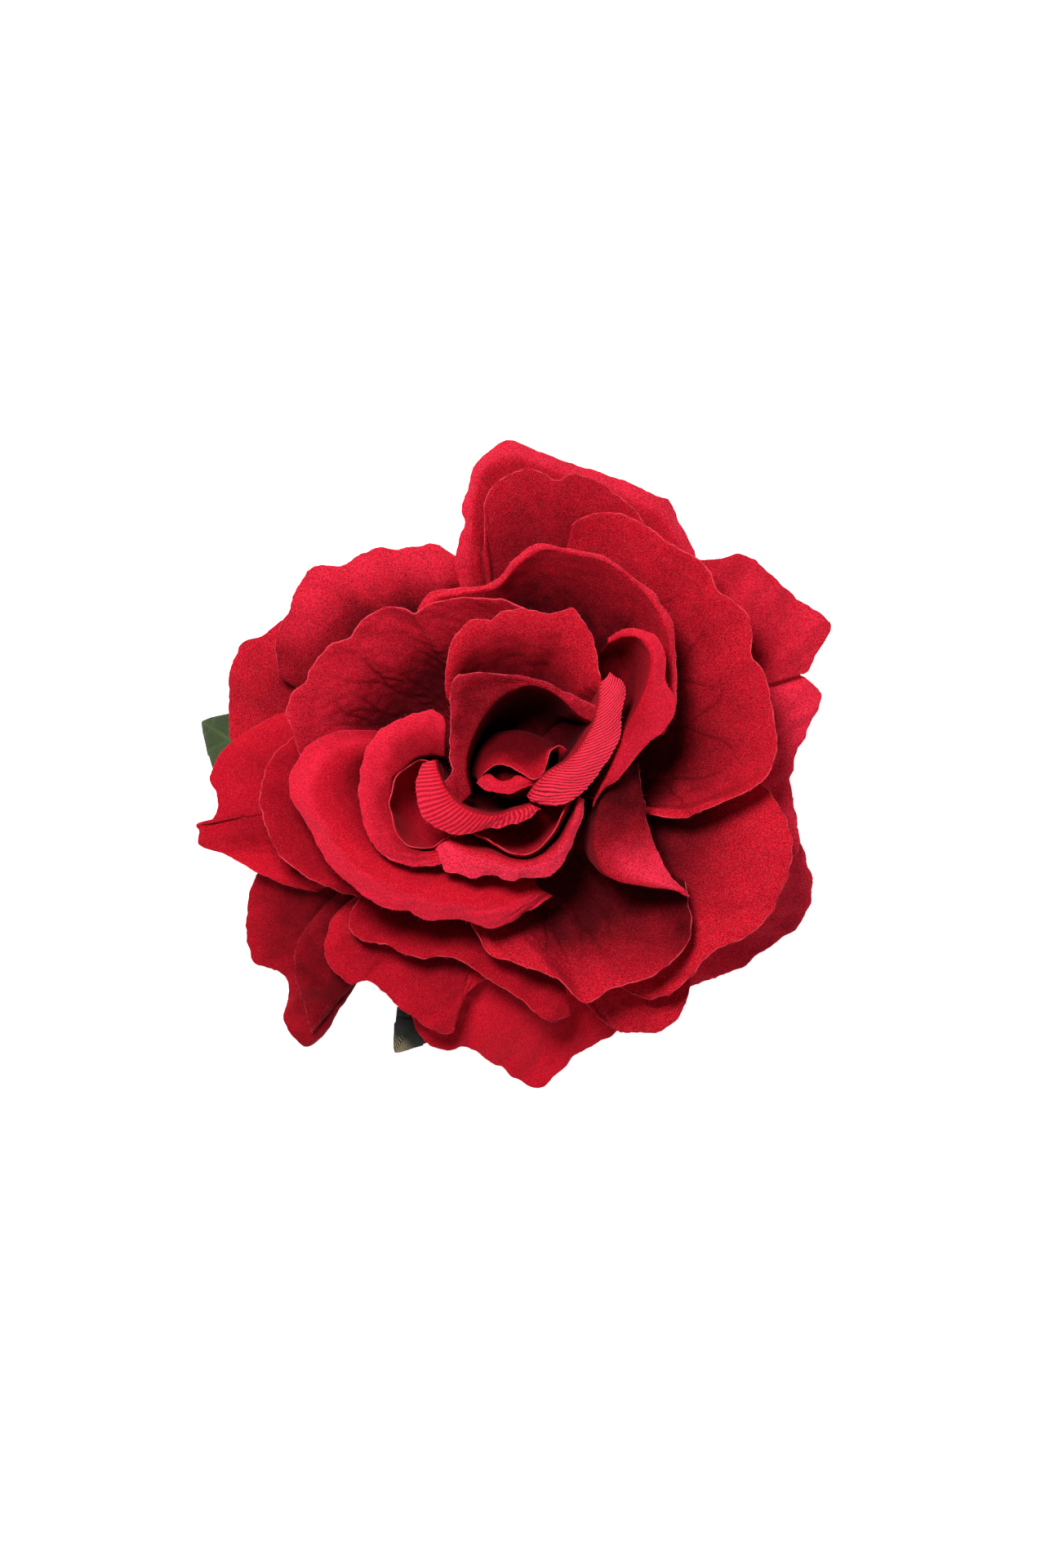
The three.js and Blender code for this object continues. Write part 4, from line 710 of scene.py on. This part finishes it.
RED = (0.57, 0.003, 0.016)
RED_PAINTED_HIGHLIGHT = (0.95, 0.024, 0.068)  # painted highlight on the lips and on petals painted paler all over
# painted deep shade towards the seams, in the creases and in the rib grooves, and the dark specks of the
# grain
RED_SHADE_AND_GRAIN = (0.045, 0.0003, 0.0016)
PINK = (0.85, 0.1, 0.14)  # bare fibres
# painted highlight on the crests of the ribs
RIB_PAINTED_HIGHLIGHT = (1.0, 0.04, 0.085)


def petal_velvet():
    """Flocked crimson cloth: fine grain, painted shade towards the seam and in the creases, a painted
    highlight on the lips, ribs on a stretched lip with painted shade in their grooves and a painted
    highlight on their crests, a paler frayed cut edge. The attributes are those that petal_grid and
    sheet_mesh write."""
    n = Nodes("petal_velvet")
    grain = n.noise(3600.0, 2.0, 0.7)
    fibre = n.noise(7000.0, 1.0, 0.5)
    cloud = n.noise(190.0, 4.0, 0.6)
    patch = n.times(n.math("SUBTRACT", cloud, 0.5), 0.62)
    # Painted shade: dark towards the seam by the field, with random mottling from the cloud noise.
    dye = n.math("ADD", n.attribute("dye"), patch, clamp=True)
    base = n.mix(dye, RED_SHADE_AND_GRAIN, RED)
    # Painted highlight over the lips and over petals painted paler all over.
    base = n.mix(n.times(n.attribute("lit"), n.ramp(dye, 0.4, 1.0)), base, RED_PAINTED_HIGHLIGHT)
    base = n.mix(n.ramp(grain, 0.38, 0.6, 0.6, 0.0), base, RED_SHADE_AND_GRAIN)
    strong = n.ramp(dye, 0.0, 1.0, 0.06, 0.34)
    base = n.mix(n.times(n.ramp(fibre, 0.52, 0.68), strong), base, PINK)
    # Painted shade in the pressed creases.
    base = n.mix(n.times(n.attribute("vein"), 0.72), base, RED_SHADE_AND_GRAIN)
    # Painted shade in the rib grooves and a painted highlight on the rib crests.
    wave = n.math("SINE", n.times(n.attribute("phase"), 2 * math.pi))
    rib = n.times(n.ramp(wave, -0.5, 0.7), n.attribute("ribbed"))
    base = n.mix(n.times(rib, 0.6), base, RED_SHADE_AND_GRAIN)
    crest = n.math("SUBTRACT", n.attribute("ribbed"), rib)
    base = n.mix(n.times(crest, 0.6), base, RIB_PAINTED_HIGHLIGHT)
    tatter = n.times(n.noise(420.0, 3.0, 0.6), 0.55)
    frayed = n.ramp(n.math("SUBTRACT", n.attribute("rim"), tatter), -0.3, -0.18, 1.0, 0.0)
    base = n.mix(n.times(frayed, 0.46), base, PINK)
    # The painted shade is fainter on the underside.
    under = n.attribute("under")
    base = n.mix(n.times(under, n.ramp(dye, 0.0, 1.0, 0.1, 0.35)), base, RED)
    nap = n.bump(grain, 0.00006, 0.6)
    nap = n.bump(n.noise(900.0, 2.0), 0.0001, 0.4, nap)
    nap = n.bump(n.math("SUBTRACT", 1.0, rib), 0.00008, 1.0, nap)
    return n.finish(Base_Color=base, Roughness=0.82, Specular_IOR_Level=0.04, Normal=nap,
                    Sheen_Weight=0.03, Sheen_Roughness=0.4, Sheen_Tint=(1.0, 0.25, 0.32, 1.0))


def thread():
    """Loose crimson threads, a little paler than the cloth they come from."""
    n = Nodes("loose_thread")
    base = n.mix(n.noise(900.0, 2.0), (0.5, 0.01, 0.03), (0.8, 0.07, 0.11))
    return n.finish(Base_Color=base, Roughness=0.7, Specular_IOR_Level=0.2)


def leaf_cloth():
    """Stiffened woven cloth, dark olive, paler along the veins. A leaf with the wear and shade value
    is painted nearly black as shade, and has bare worn threads across its tip."""
    n = Nodes("leaf_cloth")
    uv = n.add("UVMap", uv_map="cloth").outputs[0]
    yarn = {"Vector": uv, "Scale": 80.0, "Distortion": 0.6, "Detail Scale": 3.0}
    warp = n.add("TexWave", yarn, bands_direction="X").outputs["Fac"]
    weft = n.add("TexWave", yarn, bands_direction="Y").outputs["Fac"]
    weave = n.times(n.math("ADD", warp, weft), 0.5)
    cloud = n.noise(160.0, 3.0)
    base = n.mix(cloud, (0.018, 0.036, 0.010), (0.052, 0.088, 0.024))
    base = n.mix(n.ramp(weave, 0.2, 0.8, 0.35, 0.0), base, (0.006, 0.012, 0.004))
    base = n.mix(n.times(n.attribute("vein"), 0.5), base, (0.11, 0.15, 0.05))
    base = n.mix(n.ramp(n.attribute("edge"), 0.0, 0.3, 0.5, 0.0), base, (0.18, 0.17, 0.08))
    wear_and_shade = n.attribute("wear_and_shade")
    # Painted shade: the marked leaf goes nearly black; the bare threads below are real wear.
    base = n.mix(n.times(wear_and_shade, 0.96), base, (0.006, 0.006, 0.004))
    bare = n.times(n.ramp(n.attribute("share"), 0.92, 0.97), wear_and_shade)
    thread_lines = n.add("TexWave", {"Vector": uv, "Scale": 46.0, "Distortion": 0.4},
                         bands_direction="Y").outputs["Fac"]
    bare = n.times(bare, n.ramp(thread_lines, 0.55, 0.8))
    base = n.mix(bare, base, (0.45, 0.36, 0.2))
    nap = n.bump(weave, 0.00008, 0.7)
    return n.finish(Base_Color=base, Roughness=0.72, Specular_IOR_Level=0.3,
                    Sheen_Weight=0.1, Normal=nap)


def felt():
    """Black needled felt."""
    n = Nodes("felt")
    fibre = n.noise(2600.0, 6.0, 0.75)
    clump = n.noise(420.0, 3.0)
    base = n.mix(fibre, (0.006, 0.006, 0.007), (0.05, 0.048, 0.05))
    base = n.mix(n.ramp(clump, 0.4, 0.7, 0.0, 0.4), base, (0.03, 0.03, 0.032))
    nap = n.bump(fibre, 0.0002, 0.8)
    nap = n.bump(clump, 0.0003, 0.5, nap)
    return n.finish(Base_Color=base, Roughness=0.95, Specular_IOR_Level=0.15,
                    Sheen_Weight=0.35, Sheen_Roughness=0.6, Normal=nap)


def calyx_plastic():
    """Moulded green plastic with a slightly grainy mould finish."""
    n = Nodes("calyx_plastic")
    mould = n.noise(1500.0, 3.0)
    cloud = n.noise(90.0, 2.0)
    base = n.mix(cloud, (0.022, 0.06, 0.016), (0.045, 0.11, 0.028))
    rough = n.ramp(mould, 0.3, 0.7, 0.38, 0.52)
    return n.finish(Base_Color=base, Roughness=rough, Normal=n.bump(mould, 0.00005, 0.5))


def plated_steel(name, colour, brush):
    """Nickel-plated steel with fine lines and faint handling marks. brush is the scale of the
    lines along X: small values stretch them along the strip."""
    n = Nodes(name)
    place = n.add("TexCoord").outputs["Object"]
    place = n.add("Mapping", {"Vector": place, "Scale": (brush, 1.0, 1.0)}).outputs[0]
    lines = n.noise(5200.0, 3.0, 0.6, place)
    marks = n.noise(260.0, 4.0, 0.6)
    dull = tuple(0.72 * c for c in colour)
    base = n.mix(n.ramp(marks, 0.45, 0.75, 0.0, 0.5), colour, dull)
    rough = n.math("ADD", n.ramp(lines, 0.3, 0.7, 0.16, 0.3), n.ramp(marks, 0.5, 0.8, 0.0, 0.12))
    return n.finish(Base_Color=base, Metallic=1.0, Roughness=rough,
                    Normal=n.bump(lines, 0.00001, 0.4))


# ---------------------------------------------------------------- the flower


def stands_for(piece, node):
    """The piece rides with the flower in place of its CAD node."""
    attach(piece, "flower")
    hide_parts(node)


def petal_grid(form, seed):
    """A petal's middle points, and the fields that its material reads."""
    folded = "fold" in form
    pitch = RIB_PITCH if "rib" in form else PITCH
    cols = int(distance(along(form["rim"], np.linspace(0, 1, 60)))[-1] / pitch) + 1
    s = np.linspace(0, 1, cols)
    draft = petal_surface(form, s, np.linspace(0, 1, 40))
    rows = int(lengths(draft)[1][-1].max() / pitch) + 1
    t = np.linspace(0, 1, rows)
    grid = petal_surface(form, s, t)
    u, v = lengths(grid)
    share = v / v[-1:]
    outer = smooth(0.45, 1.0, share)
    flutter = FOLDED_FLUTTER if folded else FLUTTER
    bumps = flutter * outer * ripple(u, v * 0.35, 15.0, seed)
    bumps = bumps + 1.1 * flutter * outer * ripple(u, v, 30.0, seed + 8)
    bumps = bumps + 0.3 * flutter * outer**2 * ripple(u, v * 0.2, 5.0, seed + 1)
    bumps = bumps + CRINKLE * smooth(0.1, 0.4, share) * ripple(u, v, 3.2, seed + 2)
    vein = 0 * u
    if "veins" in form:
        vein = creases(u, v, form["veins"], seed + 3)
        puckered = smooth(0.1, 0.3, share) * (1 - smooth(0.5, 0.8, share))
        bumps = bumps - CREASE_DEPTH * vein + 0.07 * puckered * ripple(u, v, 1.9, seed + 4)
    ribbed = phase = 0 * u
    if "rib" in form:
        ribbed = smooth(WALL - 0.05, WALL + 0.06, t)[:, None] + 0 * u
        wander = 0.09 * ripple(u, v, 6.0, seed + 5) + form["slant"] * v
        phase = (u[-1:] + wander) / form["rib"]
        bumps = bumps - RIB_DEPTH * ribbed * np.sin(2 * math.pi * phase)
    nicks = 0.1 * ripple(u[-1:], 0, 3.4, seed + 6) + 0.045 * ripple(u[-1:], 0, 1.0, seed + 7)
    outward = np.gradient(grid, axis=0)
    outward /= np.maximum(np.linalg.norm(outward, axis=2, keepdims=True), 1e-9)
    trim = outward * (nicks * smooth(0.8, 1.0, share))[..., None]
    grid = grid + normals(grid) * bumps[..., None] + trim
    grid[..., 2] -= form.get("roll", 0) * smooth(0.78, 1.0, share) ** 1.5
    # Painted shade along the petal and a painted shadow across it, with a painted highlight all over and
    # on the lip.
    dye = smooth(*form["dye"], share)
    if "dusk" in form:
        dye = dye * smooth(*form["dusk"], s)[None]
    lit = form.get("lit", 0) + 0 * u
    if folded:
        lit = np.maximum(lit, form.get("lip", 1) * smooth(WALL, WALL + 0.1, t)[:, None])
    return grid, {"vein": vein, "ribbed": ribbed, "phase": phase, "dye": dye, "lit": lit}


def as_tree(sheets):
    """The sheets, with every second point left out, for rays to meet."""
    points, faces = [], []
    for grid in sheets:
        sparse = grid[::2, ::2]
        rows, cols = sparse.shape[:2]
        base = len(points)
        points += sparse.reshape(-1, 3).tolist()
        for first in range(base, base + (rows - 1) * cols, cols):
            faces += [(a, a + 1, a + cols + 1, a + cols) for a in range(first, first + cols - 1)]
    return BVHTree.FromPolygons(points, faces, all_triangles=False)


def cloth_sheet(node, grid, fields, material, thick=PETAL, rim=RIM):
    """A sheet of cloth that rides with the flower in place of its CAD node."""
    piece = sheet_mesh(node + "_cloth", grid, thick, rim, fields, material)
    stands_for(piece, node)


def cloth_petals(material):
    """Every petal and bud wrap, each petal resting under the ones inside it."""
    laid = []
    for k, form in enumerate(PETALS):
        grid, fields = petal_grid(form, FIRST_SEED + SEED_STEP * k)
        if laid:
            grid = rest_under(grid, as_tree(laid))
        grid[..., 2] = np.maximum(grid[..., 2], PETAL / 2 + TABLE_GAP)
        if k >= BUD_WRAPS:
            laid.append(grid)
        cloth_sheet(form["name"], grid, fields, material)
    return laid


def leaf_grid(leaf):
    """A leaf's middle points with its vein field: toothed edge, sunk midrib, pillowed cloth."""
    tooth_pitch = 2.6
    vein_pitch = 4.2
    t = np.linspace(0, 1, 150)
    across = np.linspace(-1, 1, 61)
    middle = along(leaf["spine"], t)
    ahead = np.gradient(middle, axis=0)
    side = np.stack([-ahead[:, 1], ahead[:, 0], 0 * t], axis=1)
    side /= np.linalg.norm(side, axis=1, keepdims=True)
    half = leaf["width"] / 2 * np.sin(math.pi * (0.03 + 0.97 * t)) ** 0.8 + 0.12
    run = t * distance(middle)[-1]
    toothed = smooth(0.08, 0.2, t) * (1 - smooth(0.9, 0.97, t))
    wide = half + 0.28 * (1 - (run / tooth_pitch) % 1) * toothed
    reach = across[None] * wide[:, None]
    grid = middle[:, None] + side[:, None] * reach[..., None]
    away = np.abs(reach)
    slant = (run[:, None] - 0.75 * away) / vein_pitch
    side_vein = np.exp(-(((slant + 0.5) % 1 - 0.5) / 0.07) ** 2) * smooth(0.3, 0.8, away)
    vein = np.maximum(np.exp(-((reach / 0.45) ** 2)), 0.7 * side_vein)
    pillow = 0.16 * np.abs(np.sin(math.pi * slant)) * smooth(0.3, 2.0, away)
    wave = 0.35 * smooth(0.4, 1, np.abs(across))[None] * ripple(run[:, None], 0 * reach, 11.0, 31)
    grid[..., 2] += 0.12 * away + pillow + wave - 0.3 * vein
    edge = (1 - np.abs(across)) * wide[:, None]
    wear_and_shade = np.full(edge.shape, float(leaf["wear_and_shade"]))
    return grid[:, ::-1], {"vein": vein[:, ::-1], "edge": edge[:, ::-1], "wear_and_shade": wear_and_shade}


def leaves(material, laid):
    """Both leaves, under the petals."""
    above = as_tree(laid)
    for leaf in LEAVES:
        grid, fields = leaf_grid(leaf)
        grid = rest_under(grid, above)
        grid[..., 2] = np.maximum(grid[..., 2], LEAF_LOW)
        cloth_sheet(leaf["name"], grid, fields, material, LEAF, LEAF_RIM)


def turned(name, profile, spokes, shape, material):
    """A closed body round +Z. profile runs from axis to axis as [radius, height] pairs, and
    shape(radius, height, turn) gives each point's own radius and height."""
    p = np.array(profile, float)
    run = distance(p)
    even = np.linspace(0, run[-1], int(run[-1] / TURNED_PITCH) + 2)
    stops = np.unique(np.concatenate([even, run]))
    r = np.interp(stops, run, p[:, 0])[:, None]
    z = np.interp(stops, run, p[:, 1])[:, None]
    turn = np.linspace(0, 2 * math.pi, spokes, endpoint=False)[None]
    radius, height = shape(r + 0 * turn, z + 0 * turn, turn + 0 * r)
    body = np.stack([radius * np.cos(turn), radius * np.sin(turn), height], axis=2)[1:-1]
    rings = len(body)
    points = np.vstack([[0, 0, height[0].mean()], body.reshape(-1, 3), [0, 0, height[-1].mean()]])
    faces = []
    last = len(points) - 1
    for j in range(spokes):
        k = (j + 1) % spokes
        faces.append((0, 1 + k, 1 + j))
        for i in range(rings - 1):
            a = 1 + i * spokes
            faces.append((a + j, a + k, a + spokes + k, a + spokes + j))
        a = 1 + (rings - 1) * spokes
        faces.append((a + j, a + k, last))
    return new_piece(name, points, faces, material)


def dimples(x, y, size, seed):
    """A busier random field than ripple alone gives."""
    return ripple(x, y, size, seed, count=20)


def felt_disc(material):
    """The felt pad, its cut edge a little uneven and its faces dimpled."""
    low, high = (c.z / MM for c in map(Vector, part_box("felt_pad")))
    r = FELT_RADIUS

    def shape(radius, height, turn):
        x, y = radius * np.cos(turn), radius * np.sin(turn)
        side = smooth(r - 1.2, r, radius)
        uneven = 0.12 * dimples(9 * np.cos(turn), 9 * np.sin(turn), 5.0, 7)
        uneven = uneven + 0.05 * dimples(r * np.cos(turn), r * np.sin(turn), 0.9, 8)
        pressed = 0.05 * dimples(x, y, 2.4, 9) + 0.025 * dimples(x, y, 0.8, 10)
        return radius + side * uneven, height + pressed * (1 - 0.5 * side)

    rounded = 0.35
    profile = [[0, low], [r - rounded, low], [r - 0.1, low + 0.1], [r, low + rounded],
               [r, high - rounded], [r - 0.1, high - 0.1], [r - rounded, high], [0, high]]
    stands_for(turned("felt_pad_cut", profile, 260, shape, material), "felt_pad")


def moulded_calyx(material):
    """The cup with five pointed sepals, each with a groove down its middle."""
    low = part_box("calyx")[0][2] / MM
    fifth = 2 * math.pi / 5

    def shape(radius, height, turn):
        off = np.abs((turn / fifth - 0.25 + 0.5) % 1 - 0.5) * fifth
        tip = np.interp(off, [0, 0.02, 0.146, 0.3, 0.44], [SEPAL_REACH, 19.2, 15, 11, 9.4])
        out = radius * tip / SEPAL_REACH
        top = smooth(0.45, 0.55, height)
        cup = 1.2 - 0.5 * smooth(8.4, 10.4, out)
        cup = cup - 0.22 * np.exp(-((off * out / 0.5) ** 2)) * smooth(9, 11, out)
        base = 0.14 * smooth(7, 9.6, out)
        thin = smooth(0.93, 1.0, radius / SEPAL_REACH) * 0.18
        return out, low + np.where(top > 0.5, cup - thin, base + thin)

    profile = [[0, 0], [SEPAL_REACH, 0], [SEPAL_REACH, 1], [0, 1]]
    stands_for(turned("calyx_moulded", profile, 400, shape, material), "calyx")


def bud_roll(material):
    """The rolled core of the bud, with the spiral of its last turn. It leans to the lower left."""
    low, high = (c[2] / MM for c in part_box("bud_core"))
    tall = high - low
    bulge = [(0, 0), (3.2, 0), (4.3, 0.2), (4.6, 0.48), (4, 0.74), (2.8, 0.91), (1.4, 0.98), (0, 1)]
    profile = [[r, low + tall * share] for r, share in bulge]

    def shape(radius, height, turn):
        share = (height - low) / tall
        spiral = (turn / (2 * math.pi) + 1.6 * share) % 1
        radius = radius * (1 - 0.1 * smooth(0.0, 0.12, spiral) * (1 - spiral))
        x, y = radius * np.cos(turn), radius * np.sin(turn)
        return radius, height + 0.05 * dimples(x, y, 2.0, 5)

    core = turned("bud_core_roll", profile, 96, shape, material)
    for v in core.data.vertices:
        share = (v.co.z / MM - low) / tall
        v.co.x -= share * MM
        v.co.y -= share * MM
    # The core is painted a constant shade, a quarter of the way from the painted deep shade to full red.
    for key, value in (("rim", 5.0), ("dye", 0.25), ("share", 0.5)):
        write_field(core.data, key, np.full(len(core.data.vertices), value))
    stands_for(core, "bud_core")


# ---------------------------------------------------------------- the clip


def coiled_spring(material):
    """Round spring wire: a leg under the upper jaw, the turns round the pin, a leg on the lever."""
    px, pz = PIVOT
    half = COIL_LENGTH / 2
    points = [(px + 9, -half, pz + COIL_R + 0.1), (px + 4, -half, pz + COIL_R)]
    per_turn = 12
    steps = 41
    for i in range(steps + 1):
        turn = math.pi / 2 + 2 * math.pi * i / per_turn
        y = -half + COIL_LENGTH * i / steps
        points.append((px + COIL_R * math.cos(turn), y, pz + COIL_R * math.sin(turn)))
    x, _, z = points[-1]
    points += [(x + d, half, z - LEG_SLOPE * d) for d in (3, 7.4)]
    path = catmull_rom(points, 6) * MM
    curve = bpy.data.curves.new("wire", "CURVE")
    curve.dimensions = "3D"
    curve.bevel_depth = WIRE_R * MM
    curve.bevel_resolution = 3
    curve.use_fill_caps = True
    line = curve.splines.new("POLY")
    line.points.add(len(path) - 1)
    line.points.foreach_set("co", np.hstack([path, np.ones((len(path), 1))]).ravel())
    rod = bpy.data.objects.new("wire", curve)
    mesh = bpy.data.meshes.new_from_object(rod)
    bpy.data.objects.remove(rod)
    mesh.materials.clear()
    mesh.materials.append(material)
    mesh.shade_smooth()
    piece = bpy.data.objects.new("clip_spring_wire", mesh)
    bpy.context.scene.collection.objects.link(piece)
    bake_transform(piece)
    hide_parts("clip_spring")


def finish_node(node, material, edge):
    """Eases the edges of a hard CAD node and gives it its material."""
    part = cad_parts[node]
    part.data.materials.clear()
    part.data.materials.append(material)
    flat = part.modifiers.new("flat faces", "DECIMATE")
    flat.decimate_type = "DISSOLVE"
    flat.angle_limit = math.radians(0.5)
    round_off = part.modifiers.new("eased edges", "BEVEL")
    round_off.width = edge * MM
    round_off.segments = 2
    round_off.limit_method = "ANGLE"
    round_off.angle_limit = math.radians(28)
    round_off.harden_normals = True
    part.data.shade_smooth()


# ---------------------------------------------------------------- floor, light and camera


def area_light(name, place, size, power):
    """A round lamp that shines at the flower, in metres and watts."""
    lamp = bpy.data.lights.new(name, "AREA")
    lamp.shape = "DISK"
    lamp.size = size
    lamp.energy = power
    light = bpy.data.objects.new(name, lamp)
    light.location = place
    aim = Vector((0, 0, 0.02)) - light.location
    light.rotation_euler = aim.to_track_quat("-Z", "Y").to_euler()
    bpy.context.scene.collection.objects.link(light)


TABLE_GLOW = 0.9  # keeps the table white and its shadows faint, as in the photo
ROOM_GLOW = 0.07


def studio():
    """A white table, a key light from the upper left, a weak fill, and a little light all round."""
    floor = bpy.data.meshes.new("floor")
    half = 3.0
    corners = [(-half, -half, 0), (half, -half, 0), (half, half, 0), (-half, half, 0)]
    floor.from_pydata(corners, [], [(0, 1, 2, 3)])
    n = Nodes("floor")
    paper = n.noise(40.0, 4.0)
    floor.materials.append(n.finish(
        Base_Color=n.mix(paper, (0.9, 0.9, 0.9), (0.93, 0.93, 0.93)), Roughness=0.9,
        Emission_Color=(1, 1, 1, 1), Emission_Strength=TABLE_GLOW))
    ground = bpy.data.objects.new("floor", floor)
    bpy.context.scene.collection.objects.link(ground)

    area_light("key", (-0.17, 0.33, 1.0), 0.28, 14.6)
    area_light("fill", (0.1, -0.5, 0.9), 0.5, 1.0)
    world = bpy.data.worlds.new("room")
    world.use_nodes = True
    background = world.node_tree.nodes["Background"]
    background.inputs["Color"].default_value = (1, 1, 1, 1)
    background.inputs["Strength"].default_value = ROOM_GLOW
    bpy.context.scene.world = world
    bpy.context.scene.view_settings.view_transform = "Standard"


LENS = 200.9  # long, and far away: the petals show almost without perspective
VIEWPOINT = (0.0014, -0.0028, 1.525)


def camera():
    """Straight overhead, with the long side of the picture along Y."""
    data = bpy.data.cameras.new("camera")
    data.sensor_width = 36
    data.lens = LENS
    data.clip_end = 20
    shot = bpy.data.objects.new("camera", data)
    shot.location = VIEWPOINT
    bpy.context.scene.collection.objects.link(shot)
    bpy.context.scene.camera = shot


camera()
studio()
velvet = petal_velvet()
laid = cloth_petals(velvet)
threads = loose_threads("petal_loose_threads", laid, thread(), 5)
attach(threads, "flower")
bud_roll(velvet)
leaves(leaf_cloth(), laid)
felt_disc(felt())
plastic = calyx_plastic()
moulded_calyx(plastic)
coiled_spring(plated_steel("spring_steel", (0.62, 0.62, 0.63), 1.0))
steel = plated_steel("clip_steel", (0.72, 0.73, 0.75), 0.06)
for part in ("clip_upper_jaw", "clip_lower_jaw", "clip_pin"):
    finish_node(part, steel, 0.14)
finish_node("flower_hub", plastic, 0.3)
